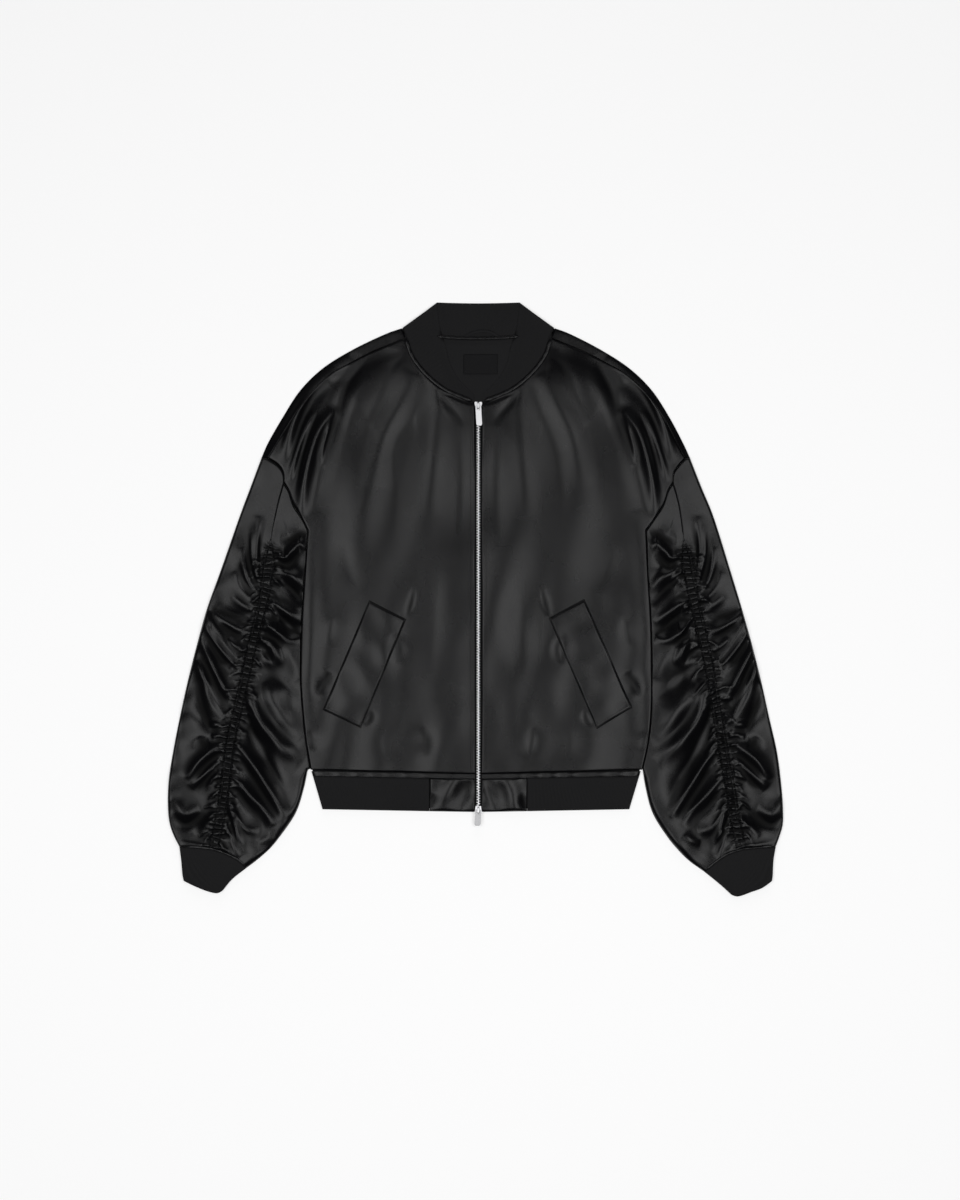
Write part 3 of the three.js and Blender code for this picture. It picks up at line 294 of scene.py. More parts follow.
def joined_back(lines, *names):
    """Some of a half's seam lines, each turned round, as one line."""
    return joined(*[lines[name][::-1] for name in names])


def leftward(line):
    """The unit vectors to the left of a line at each of its points."""
    way = np.gradient(line, axis=0)
    way /= np.linalg.norm(way, axis=1, keepdims=True) + 1e-12
    return np.stack([-way[:, 1], way[:, 0]], axis=1)


def offset(line, distance):
    """A line moved to its left by a distance, which may differ from point to point."""
    return line + leftward(line) * np.reshape(distance, (-1, 1))


def nearest(line, x, y):
    """The share of a line's length nearest to each point, and the signed distance to its left."""
    ways = np.diff(line, axis=0)
    lengths = np.linalg.norm(ways, axis=1)
    run = run_of(line)
    best = np.full(x.shape, np.inf)
    share = np.zeros(x.shape)
    signed = np.zeros(x.shape)
    for start, way, length, done in zip(line, ways, lengths, run):
        if length < 1e-9:
            continue
        dx = x - start[0]
        dy = y - start[1]
        t = np.clip((dx * way[0] + dy * way[1]) / length**2, 0, 1)
        gap = np.hypot(dx - t * way[0], dy - t * way[1])
        closer = gap < best
        best = np.where(closer, gap, best)
        share = np.where(closer, (done + t * length) / run[-1], share)
        cross = way[0] * dy - way[1] * dx
        signed = np.where(closer, np.sign(cross) * gap, signed)
    return share, signed


print("a front's neck seam runs", round(length_of(seam(SEAM_TABLES["neck"], "left"))), "mm")


# %% [markdown]
# ## Cloth as a sheet between four edges
# A panel is stretched between its four seam lines, as a Coons patch, and its height comes from
# soft folds. A fold is a course of a few points with a rise, a spread and the share of its
# length at which it is highest. Placed one by one, folds can follow the photograph. A cloth
# simulation would give folds of its own, in other places.

# %% Patches and rounded edges
def patch(bottom, top, first, other, across, up):
    """A sheet between four lines. first and other run up, bottom and top run across."""
    a = at_shares(bottom, across)[None, :, :]
    b = at_shares(top, across)[None, :, :]
    c = at_shares(first, up)[:, None, :]
    d = at_shares(other, up)[:, None, :]
    s = across[None, :, None]
    t = up[:, None, None]
    corner = (1 - s) * (1 - t) * bottom[0] + s * (1 - t) * bottom[-1]
    corner = corner + (1 - s) * t * top[0] + s * t * top[-1]
    return a * (1 - t) + b * t + c * (1 - s) + d * s - corner


STRAIGHT_POINTS = 40


def crowded(count, crowding=0.0):
    """Shares from 0 to 1 that crowd towards both ends."""
    even = np.linspace(0, 1, count)
    return even * (1 - crowding) + (1 - np.cos(np.pi * even)) / 2 * crowding


def straight(start, end):
    return np.linspace(start, end, STRAIGHT_POINTS)


def rounding(distance, reach):
    """The share of its height that cloth has at a distance from a rounded edge."""
    share = np.clip(distance / reach, 0, 1)
    return np.sqrt(1 - (1 - share) ** 2)


def lerp(a, b, share):
    return a + (b - a) * share


def distances(sheet):
    """How far each point of a sheet's grid is from its first, other, bottom and top edges."""
    along = np.linalg.norm(np.diff(sheet, axis=1), axis=2)
    first = np.concatenate([np.zeros((len(sheet), 1)), np.cumsum(along, axis=1)], axis=1)
    rising = np.linalg.norm(np.diff(sheet, axis=0), axis=2)
    bottom = np.concatenate([np.zeros((1, sheet.shape[1])), np.cumsum(rising, axis=0)], axis=0)
    return first, first[:, -1:] - first, bottom, bottom[-1:, :] - bottom


def rounded(height, sheet, edges):
    """Heights brought down at the edges. edges gives each edge's reach and low, or two lines of them."""
    for edge, distance in zip(edges, distances(sheet)):
        if edge:
            reach, low = edge
            height = np.minimum(height, lerp(low, height, rounding(distance, reach)))
    return height


print("rounding half way:", round(float(rounding(5, 10)), 3))


# %% Folds
def fold(rise, spread, peak, *points):
    return {"rise": rise, "spread": spread, "peak": peak, "points": points}


# How fast a fold rises from its ends, the power of its section, and how far its line is softened.
RIDGE = (0.7, 1.9, 0)
TROUGH = (1.3, 1.2, 0.02)
REACH_IN_SPREADS = 3.0
BLEND = 3.0


def fold_heights(folds, sign, x, y):
    """The height that folds add: ridges are round on top, troughs come to a soft crease."""
    ridges = np.zeros(x.shape)
    troughs = np.zeros(x.shape)
    for f in folds:
        line = smooth_line([(sign * out, up) for out, up in f["points"]], 8)
        room = f["spread"] * REACH_IN_SPREADS
        low = line.min(axis=0) - room
        high = line.max(axis=0) + room
        near = (x > low[0]) & (x < high[0]) & (y > low[1]) & (y < high[1])
        if not near.any():
            continue
        share, signed = nearest(line, x[near], y[near])
        bias = math.log(0.5) / math.log(f["peak"])
        ends, power, soft = RIDGE if f["rise"] > 0 else TROUGH
        fade = np.sin(np.pi * np.clip(share, 1e-6, 1 - 1e-6) ** bias) ** ends
        away = (signed / f["spread"]) ** 2 + soft
        height = abs(f["rise"]) * fade * np.exp(-(away ** (power / 2)))
        total = ridges if f["rise"] > 0 else troughs
        total[near] += height**BLEND
    return ridges ** (1 / BLEND) - troughs ** (1 / BLEND)


def unevenness(x, y, seed, size, rise, upright=1.0):
    """Slow random waves, as in cloth that was smoothed by hand. A low upright makes them run up."""
    random = np.random.default_rng(seed)
    total = np.zeros(x.shape)
    for _ in range(9):
        angle = random.uniform(0, math.pi)
        wave = random.uniform(0.6, 1.6) / size
        phase = random.uniform(0, 2 * math.pi)
        along = x * math.cos(angle) + y * math.sin(angle) * upright
        total += np.sin(along * wave * 2 * math.pi + phase)
    return total * rise / 3


print("fold blend:", BLEND)


# %% [markdown]
# ## Meshes
# Satin with its lining is drawn 0.8 mm thick. Each panel is a closed thin shell: the outer face,
# the same face moved in, and a rim between them. At a folded edge the outer face rolls round and
# under, so that no thin rim shows from the side.

# %% From grids to shells
def face_normals(grid):
    across = np.gradient(grid, axis=1)
    up = np.gradient(grid, axis=0)
    normal = np.cross(across, up)
    return normal / (np.linalg.norm(normal, axis=2, keepdims=True) + 1e-12)


ROLL = [(0.2, 1.3), (0.9, 0.55), (2.2, 0.15), (3.8, 0.1)]


def rolled_under(grid, edge):
    """A grid with columns added that roll under it at its first or its other edge."""
    g = grid if edge == "first" else grid[:, ::-1]
    rim = g[:, 0]
    inward = g[:, 2, :2] - g[:, 0, :2]
    inward /= np.linalg.norm(inward, axis=1, keepdims=True) + 1e-12
    added = [np.column_stack([rim[:, :2] + inward * step, np.full(len(rim), z)]) for step, z in ROLL]
    g = np.concatenate([np.stack(added[::-1], axis=1), g], axis=1)
    return g if edge == "first" else g[:, ::-1]


def turned(grid):
    """Whether a grid runs clockwise seen from above."""
    a = grid[0, -1, :2] - grid[0, 0, :2]
    b = grid[-1, 0, :2] - grid[0, 0, :2]
    return a[0] * b[1] - a[1] * b[0] < 0


def new_object(name, points, faces, material, uvs):
    """An object at the origin from points in millimetres. uvs gives one pair for each point."""
    mesh = bpy.data.meshes.new(name)
    mesh.from_pydata((points * MM).tolist(), [], faces.tolist())
    mesh.validate()
    corners = np.empty(len(mesh.loops), dtype=np.int32)
    mesh.loops.foreach_get("vertex_index", corners)
    layer = mesh.uv_layers.new(name="cloth")
    layer.data.foreach_set("uv", (uvs * MM)[corners].astype(np.float32).ravel())
    mesh.polygons.foreach_set("use_smooth", [True] * len(mesh.polygons))
    mesh.materials.append(material)
    piece = bpy.data.objects.new(name, mesh)
    bpy.context.scene.collection.objects.link(piece)
    return piece


def grid_quads(rows, columns, start=0):
    at = start + np.arange(rows * columns).reshape(rows, columns)
    a, b, c, d = at[:-1, :-1], at[:-1, 1:], at[1:, 1:], at[1:, :-1]
    return np.stack([a, b, c, d], axis=-1).reshape(-1, 4)


def cloth_uv(grid):
    """Each grid point's place on the cloth, once for the outer face and once for the inner."""
    first, _, bottom, _ = distances(grid)
    uv = np.stack([first, bottom], axis=-1).reshape(-1, 2)
    return np.concatenate([uv, uv])


# How far around and how deep the crease mask reaches, which sets where shade is painted into the satin.
CREASE_REACH = 5.0
CREASE_DEPTH = 1.0


def averaged(values, reach, axis):
    """Each value's mean with its neighbours along one axis."""
    pad = [(reach, reach) if k == axis else (0, 0) for k in range(2)]
    padded = np.pad(values, pad, mode="edge")
    size = values.shape[axis]
    total = sum(np.take(padded, np.arange(k, k + size), axis=axis) for k in range(2 * reach + 1))
    return total / (2 * reach + 1)


def keep_painted_shade_mask(piece, depth):
    """Keeps a mask from 0 to 1 as the mesh attribute named crease, by which the cloth materials darken the
    colour as painted shade and make the cloth rougher.
    """
    attribute = piece.data.attributes.new("crease", "FLOAT", "POINT")
    attribute.data.foreach_set("value", depth.astype(np.float32))


def mark_creases(piece, grid):
    """Measures how far each point of a shell lies below the cloth around it, as the mask for shade painted
    into creases.
    """
    height = grid[..., 2]
    around = height
    for axis in (0, 1):
        step = np.linalg.norm(np.diff(grid[..., :2], axis=axis), axis=2).mean()
        around = averaged(around, max(1, round(CREASE_REACH / step)), axis)
    depth = np.clip((around - height) / CREASE_DEPTH, 0, 1).ravel()
    keep_painted_shade_mask(piece, np.concatenate([depth, depth]))


def shell(name, grid, thickness, material, along_normal=True, under=None):
    """A closed thin shell under a grid of outer points, or between it and another grid."""
    if turned(grid):
        grid = grid[:, ::-1]
        under = None if under is None else under[:, ::-1]
    rows, columns = grid.shape[:2]
    inward = -face_normals(grid) if along_normal else np.array([0, 0, -1.0])
    inner = grid + inward * thickness if under is None else under
    count = rows * columns
    outer_faces = grid_quads(rows, columns)
    inner_faces = grid_quads(rows, columns, count)[:, ::-1]
    at = np.arange(count).reshape(rows, columns)
    rim = np.concatenate([at[0, :], at[1:, -1], at[-1, -2::-1], at[-2:0:-1, 0]])
    following = np.roll(rim, -1)
    rim_faces = np.stack([following, rim, rim + count, following + count], axis=1)
    points = np.concatenate([grid.reshape(-1, 3), inner.reshape(-1, 3)])
    faces = np.concatenate([outer_faces, inner_faces, rim_faces])
    piece = new_object(name, points, faces, material, cloth_uv(grid))
    # Satin gets painted shade in its creases.
    if material is satin:
        mark_creases(piece, grid)
    return piece


def dress(piece, node, body="jacket"):
    """Names a piece after its CAD node, attaches it to its body, hides the CAD node and prints its faces
    and area.
    """
    piece.name = f"{node}_dressed"
    piece.data.name = piece.name
    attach(piece, body)
    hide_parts(node)
    area = sum(face.area for face in piece.data.polygons) / 2
    print(piece.name, len(piece.data.polygons), "faces,", round(area, 4), "square metres a layer")


def with_heights(sheet, height):
    return np.concatenate([sheet, height[..., None]], axis=-1)


def dress_both(make, node):
    """Makes a cloth piece for each half and dresses it."""
    made = {side: make(side) for side in SIDES}
    for side, piece in made.items():
        dress(piece, f"{node}_{side}")


# %% [markdown]
# ## Finishes
# The shell is black satin: a dark ground with a soft, rather broad gloss and a fine sheen at
# its edges. The weave is far below a millimetre, so it is only a trace of bump. The knit is matt, with
# fine loops along its ribs. Both weaves follow the cloth's own UV map. Deep in a crease little
# light gets in or out, and this shade is painted into the colour: how deep a point lies is
# measured on the mesh and kept as its attribute "crease", and there the colour is darkened towards
# near black as painted shade, and the cloth is made rougher and duller.

# %% Weave group
def new_group(name, inputs, outputs):
    group = bpy.data.node_groups.new(name, "ShaderNodeTree")
    for title, kind, value in inputs:
        socket = group.interface.new_socket(name=title, in_out="INPUT", socket_type=kind)
        if value is not None:
            socket.default_value = value
    for title, kind in outputs:
        group.interface.new_socket(name=title, in_out="OUTPUT", socket_type=kind)
    return group, group.nodes.new("NodeGroupInput"), group.nodes.new("NodeGroupOutput")


def math_node(tree, operation, a, b):
    node = tree.nodes.new("ShaderNodeMath")
    node.operation = operation
    for socket, value in zip(node.inputs, (a, b)):
        if isinstance(value, (int, float)):
            socket.default_value = value
        else:
            tree.links.new(value, socket)
    return node.outputs[0]


def make_weave_group():
    """Threads across and along the cloth, and a slow mottling of its colour and gloss."""
    sockets = [("Threads per Metre", "NodeSocketFloat", 1500.0), ("Mottle Scale", "NodeSocketFloat", 18.0)]
    outputs = [("Height", "NodeSocketFloat"), ("Mottle", "NodeSocketFloat")]
    group, entry, leave = new_group("cloth_weave", sockets, outputs)
    place = group.nodes.new("ShaderNodeUVMap")
    place.uv_map = "cloth"
    split = group.nodes.new("ShaderNodeSeparateXYZ")
    group.links.new(place.outputs[0], split.inputs[0])
    turns = math_node(group, "MULTIPLY", entry.outputs["Threads per Metre"], 2 * math.pi)
    weft = math_node(group, "SINE", math_node(group, "MULTIPLY", split.outputs[0], turns), 0)
    warp = math_node(group, "SINE", math_node(group, "MULTIPLY", split.outputs[1], turns), 0)
    group.links.new(math_node(group, "ADD", weft, warp), leave.inputs["Height"])
    spots = group.nodes.new("ShaderNodeTexNoise")
    spots.inputs["Detail"].default_value = 4
    group.links.new(place.outputs[0], spots.inputs["Vector"])
    group.links.new(entry.outputs["Mottle Scale"], spots.inputs["Scale"])
    group.links.new(spots.outputs[0], leave.inputs["Mottle"])
    return group


weave_group = make_weave_group()


# %% Cloth materials
CREASE_DULLS = 0.5
# The near black colour that creases are darkened towards: painted shade.
PAINTED_CREASE_SHADE = (0.0002, 0.0002, 0.0002, 1)
BUMP_DEPTH = 0.00015


def make_cloth(name, dark, light, roughness, sheen, threads, bump, gloss, mottle=18.0):
    """A woven or knitted cloth. roughness gives the lowest and highest value."""
    material = bpy.data.materials.new(name)
    material.use_nodes = True
    tree = material.node_tree
    shader = tree.nodes["Principled BSDF"]
    weave = tree.nodes.new("ShaderNodeGroup")
    weave.node_tree = weave_group
    set_inputs(weave, {"Threads per Metre": threads, "Mottle Scale": mottle})
    colour = tree.nodes.new("ShaderNodeMix")
    colour.data_type = "RGBA"
    set_inputs(colour, {"A": (*dark, 1), "B": (*light, 1)})
    tree.links.new(weave.outputs["Mottle"], colour.inputs["Factor"])
    # Painted shade: the crease attribute mixes the colour towards near black.
    crease = tree.nodes.new("ShaderNodeAttribute")
    crease.attribute_name = "crease"
    deep = tree.nodes.new("ShaderNodeMix")
    deep.data_type = "RGBA"
    set_inputs(deep, {"B": PAINTED_CREASE_SHADE})
    tree.links.new(crease.outputs["Fac"], deep.inputs["Factor"])
    tree.links.new(colour.outputs["Result"], deep.inputs["A"])
    tree.links.new(deep.outputs["Result"], shader.inputs["Base Color"])
    rough = tree.nodes.new("ShaderNodeMapRange")
    set_inputs(rough, {"To Min": roughness[0], "To Max": roughness[1]})
    tree.links.new(weave.outputs["Mottle"], rough.inputs["Value"])
    dulled = math_node(tree, "MULTIPLY", crease.outputs["Fac"], CREASE_DULLS)
    tree.links.new(math_node(tree, "ADD", rough.outputs["Result"], dulled), shader.inputs["Roughness"])
    relief = tree.nodes.new("ShaderNodeBump")
    set_inputs(relief, {"Strength": bump, "Distance": BUMP_DEPTH})
    tree.links.new(weave.outputs["Height"], relief.inputs["Height"])
    tree.links.new(relief.outputs["Normal"], shader.inputs["Normal"])
    set_inputs(shader, {"Sheen Weight": sheen, "Sheen Roughness": 0.35, "Specular IOR Level": gloss})
    return material


satin = make_cloth(
    "black_satin", (0.0008, 0.0008, 0.001), (0.0018, 0.0018, 0.0023), (0.2, 0.34),
    sheen=0.02, threads=1500, bump=0.055, gloss=0.14, mottle=10.0,
)
lining = make_cloth(
    "black_lining", (0.009, 0.009, 0.0095), (0.012, 0.012, 0.0125), (0.5, 0.6),
    sheen=0.03, threads=1300, bump=0.12, gloss=0.03,
)
knit = make_cloth(
    "black_rib_knit", (0.0075, 0.0075, 0.008), (0.0105, 0.0105, 0.011), (0.85, 0.95),
    sheen=0.0, threads=650, bump=0.5, gloss=0.15,
)
tape_cloth = make_cloth(
    "black_tape", (0.006, 0.006, 0.0065), (0.009, 0.009, 0.0095), (0.7, 0.8),
    sheen=0.05, threads=900, bump=0.4, gloss=0.05,
)
label_cloth = make_cloth(
    "black_label", (0.0075, 0.0075, 0.008), (0.0095, 0.0095, 0.01), (0.55, 0.65),
    sheen=0.0, threads=1100, bump=0.2, gloss=0.03,
)
thread = make_cloth(
    "black_thread", (0.004, 0.004, 0.0045), (0.007, 0.007, 0.0075), (0.4, 0.5),
    sheen=0.05, threads=2600, bump=0.3, gloss=0.1,
)


# %% Metals
RUB_MARKS_PER_METRE = 900
RUB_RANGE = 0.07


def make_metal(name, colour, roughness):
    """Polished zip metal with fine rubbed marks."""
    material = bpy.data.materials.new(name)
    material.use_nodes = True
    tree = material.node_tree
    shader = tree.nodes["Principled BSDF"]
    set_inputs(shader, {"Base Color": (*colour, 1), "Metallic": 1})
    place = tree.nodes.new("ShaderNodeTexCoord")
    marks = tree.nodes.new("ShaderNodeTexNoise")
    set_inputs(marks, {"Scale": RUB_MARKS_PER_METRE})
    tree.links.new(place.outputs["Object"], marks.inputs["Vector"])
    rubbed = tree.nodes.new("ShaderNodeMapRange")
    set_inputs(rubbed, {"To Min": roughness - RUB_RANGE, "To Max": roughness + RUB_RANGE})
    tree.links.new(marks.outputs[0], rubbed.inputs["Value"])
    tree.links.new(rubbed.outputs["Result"], shader.inputs["Roughness"])
    return material


silver = make_metal("silver_zip_metal", (0.6, 0.6, 0.61), 0.42)
slider_metal = make_metal("silver_slider_metal", (0.43, 0.43, 0.44), 0.4)
# A darker copy of the slider's metal: painted shade on the lower tab.
tab_metal_painted_shade = make_metal("silver_hanging_tab_metal", (0.24, 0.24, 0.245), 0.4)
print("materials:", len(bpy.data.materials))

# %% [markdown]
# ## Fronts
# Each front hangs from the neck and the shoulder seam, which lies forward of the shoulder. The
# folds fan out from the shoulder towards the armhole, where the drop of the shoulder leaves
# cloth over, and softer hollows run down from the neck.

# %% All seam lines of both halves
RUCHE_START = 0.845
RUCHE_OPENS = 0.05
RUCHE_HALF = {"cuff": 6.5, "middle": 6, "top": 9}


def seam_lines(side):
    """All the seam lines of one half."""
    sign = SIDES[side]
    lines = {name: seam(rows, side) for name, rows in SEAM_TABLES.items()}
    ruched = lines["ruched"]
    share = shares_of(ruched)
    opening = np.clip((RUCHE_START - share) / RUCHE_OPENS, 0, 1)
    middle = np.sin(np.pi * np.clip(share / RUCHE_START, 0, 1))
    straight_half = lerp(RUCHE_HALF["cuff"], RUCHE_HALF["top"], share / RUCHE_START)
    half = opening * lerp(straight_half, RUCHE_HALF["middle"], middle)
    lines["ruche_half"] = half
    lines["ruche_outside"] = offset(ruched, -sign * half)
    lines["ruche_inside"] = offset(ruched, sign * half)
    lines["front_top"] = joined(lines["neck"], lines["shoulder"])
    lines["front_side"] = joined_back(lines, "body_side", "armhole_front", "armhole_top")
    lines["sleeve_top"] = joined(lines["armhole_shoulder"], lines["armhole_top"])
    lines["sleeve_inside"] = joined_back(lines, "sleeve_inner", "body_side")
    lines["cuff_seam"] = joined(lines["cuff_outer"], lines["cuff_inner"])
    lines["armhole"] = joined(lines["armhole_shoulder"], lines["armhole_top"], lines["armhole_front"])
    return lines


LINES = {side: seam_lines(side) for side in SIDES}
print("seam lines a half:", len(LINES["left"]))

# %% Heights and folds of the fronts
PANEL_TOP = 7.6
SATIN_THICK = 0.8
NOSE = 2.4
ZIP_GAP = 3.9
SEAM_LINE = 0.15
SEWN = (1.1, PANEL_TOP - 0.6)
FLAT_SEAM = (1.4, PANEL_TOP - 0.6)

SHOULDER_FOLDS = [
    fold(4.8, 9, 0.3, (174, 326), (200, 306), (228, 279), (249, 242), (263, 182)),
    fold(-5.6, 9, 0.4, (198, 300), (219, 280), (240, 236), (253, 174)),
    fold(2.6, 5, 0.5, (224, 255), (241, 214), (255, 157)),
    fold(-3.4, 6, 0.5, (214, 262), (228, 225), (240, 186), (247, 140)),
    fold(5.6, 8, 0.42, (194, 256), (214, 230), (226, 198), (235, 157), (239, 108)),
    fold(-2.8, 4, 0.5, (203, 236), (214, 210), (222, 180)),
    fold(2.8, 4.5, 0.45, (196, 254), (204, 226), (210, 204), (213, 176)),
    fold(-5.2, 12, 0.36, (158, 330), (180, 286), (195, 236), (210, 186), (221, 133), (230, 97)),
    fold(-3.6, 7, 0.5, (222, 292), (246, 258), (263, 224), (272, 190)),
    fold(-2.6, 12, 0.5, (93, 338), (108, 322), (124, 300), (134, 270)),
]
BODY_FOLDS = [
    fold(-4.2, 22, 0.3, (112, 338), (127, 283), (148, 234), (160, 174), (166, 100)),
    fold(1.6, 16, 0.4, (86, 305), (106, 262), (128, 214), (140, 150)),
    fold(-3.6, 24, 0.35, (66, 300), (83, 255), (103, 206), (111, 153), (113, 52)),
    fold(1.4, 14, 0.45, (50, 284), (58, 240), (62, 180), (66, 110)),
    fold(-2.5, 8, 0.35, (56, 284), (42, 264), (29, 248), (20, 230)),
    fold(-2.6, 2.0, 0.5, (62, 284), (51, 278.3), (34, 272.4), (20, 267), (5, 261)),
    fold(-3.0, 20, 0.5, (26, 238), (24, 150), (30, 60)),
    fold(2.6, 15, 0.5, (217, 120), (226, 40), (227, -60), (224, -190)),
    fold(-1.9, 4.5, 0.4, (97, -26), (90, -4), (85, 22)),
    fold(-1.6, 8, 0.5, (195, -24), (201, -44), (204, -64)),
    fold(-3.6, 8, 0.45, (199, -98), (209, -116), (220, -132)),
    fold(-2.2, 8, 0.5, (118, -44), (106, -66), (112, -92)),
    fold(-2.2, 9, 0.5, (74, -170), (72, -194), (68, -214)),
    fold(-1.9, 4, 0.5, (154, -172), (146, -163), (142, -150)),
    fold(-1.8, 8, 0.5, (228, -176), (224, -194), (218, -208)),
    fold(-1.5, 16, 0.5, (160, 10), (176, 40), (184, 80)),
    fold(-2.0, 24, 0.5, (54, 40), (60, -40), (64, -120)),
    fold(-1.2, 13, 0.5, (120, -168), (124, -196), (118, -222)),
]
UNDULATION = 1.2
MOTTLE = 0.24
SWELL_AND_SINK = [(0, -4.3), (12, -2.7), (24, -0.2), (36, 1.6), (52, 2.3), (80, 1.3), (120, 0), (160, 0)]
SHOULDER_PROFILE = smooth_line(SWELL_AND_SINK)


def shoulder_sink(side, x, y):
    """How far the cloth sinks towards the shoulder seam, below a soft swell of the chest."""
    share, signed = nearest(LINES[side]["shoulder"][::6], x, y)
    below = np.maximum(-SIDES[side] * signed, 0)
    along = np.interp(share, [0, 0.08, 0.4, 0.62, 1], [0.8, 1, 1, 0.3, 0])
    return -along * np.interp(below, SHOULDER_PROFILE[:, 0], SHOULDER_PROFILE[:, 1])


def body_height(side, x, y):
    """The height of the front's surface anywhere on it, before its edges are rounded."""
    height = PANEL_TOP + fold_heights(SHOULDER_FOLDS + BODY_FOLDS, SIDES[side], x, y)
    height = height - shoulder_sink(side, x, y)
    seed = 11 if side == "left" else 12
    height = height + unevenness(x, y, seed, 210, 0.35) + unevenness(x, y, seed + 2, 95, UNDULATION, 0.4)
    return height + unevenness(x, y, seed + 4, 48, MOTTLE, 0.6) * np.clip((60 - y) / 140, 0, 1)


print("front folds:", len(SHOULDER_FOLDS) + len(BODY_FOLDS))


# %% Front panels
HEM_SEAM = {"side": -233, "zip": -237}
ZIP_HEAD_Y = 244
LOWEST = 2.9
SEAM_DEPTH = 0.7


def make_front(side):
    sign = SIDES[side]
    lines = LINES[side]
    zip_foot = (sign * ZIP_GAP, HEM_SEAM["zip"])
    side_foot = (lines["body_side"][-1, 0], HEM_SEAM["side"])
    bottom = straight(zip_foot, side_foot)
    across = crowded(112, 0.2)
    up = crowded(236, 0.2)
    top = offset(lines["front_top"], -sign * SEAM_LINE)
    zip_head = (sign * ZIP_GAP, ZIP_HEAD_Y)
    zip_side = joined(straight(zip_foot, zip_head), straight(zip_head, top[0]))
    sheet = patch(bottom, top, zip_side, lines["front_side"], across, up)
    height = np.maximum(body_height(side, sheet[..., 0], sheet[..., 1]), LOWEST)
    along_neck = across < length_of(lines["neck"]) / length_of(lines["front_top"])
    sewn = height - SEAM_DEPTH
    top_edge = (np.where(along_neck, 6.5, 1.4), np.where(along_neck, PANEL_TOP - 3.4, sewn))
    on_sleeve = sheet[:, -1:, 1] > lines["body_side"][0, 1]
    side_edge = (np.where(on_sleeve, 2.2, 1.3), np.where(on_sleeve, PANEL_TOP - 0.6, sewn))
    height = rounded(height, sheet, [(1.6, PANEL_TOP - 0.6), side_edge, (1.4, sewn), top_edge])
    return shell(f"front_{side}", with_heights(sheet, height), SATIN_THICK, satin)


dress_both(make_front, "front")

# %% [markdown]
# The shoulder seam of this cut lies in front, so a strip of the back shows above it. It rolls
# over the shoulder and under.

# %% Shoulder strips
SHOULDER_EDGE = NOSE + 0.4


def make_shoulder(side):
    lines = LINES[side]
    start = straight(lines["shoulder"][0], lines["shoulder_outline"][0])
    end = lines["armhole_shoulder"][::-1]
    across = crowded(26, 0.3)
    sheet = patch(start, end, lines["shoulder"], lines["shoulder_outline"], across, crowded(120))
    x, y = sheet[..., 0], sheet[..., 1]
    fall = np.linspace(0, 1, len(across))[None, :]
    height = lerp(PANEL_TOP - shoulder_sink(side, x, y), SHOULDER_EDGE, fall)
    height = height + fold_heights(SHOULDER_FOLDS, SIDES[side], x, y) * 0.35
    height = np.maximum(height, SHOULDER_EDGE)
    height = rounded(height, sheet, [FLAT_SEAM, (5, NOSE), FLAT_SEAM, (2.4, NOSE + 3)])
    grid = rolled_under(with_heights(sheet, height), "other")
    return shell(f"shoulder_{side}", grid, SATIN_THICK, satin)


dress_both(make_shoulder, "shoulder")

# %% [markdown]
# ## Sleeves
# Each sleeve has an outer and an inner panel. The long seam between them is gathered, from
# below the armhole down to the cuff. The cloth that the gathers draw in fans out on both sides:
# these folds were read from the photograph one by one, and about a hundred small ones are added
# by a loop, because every gather makes one.

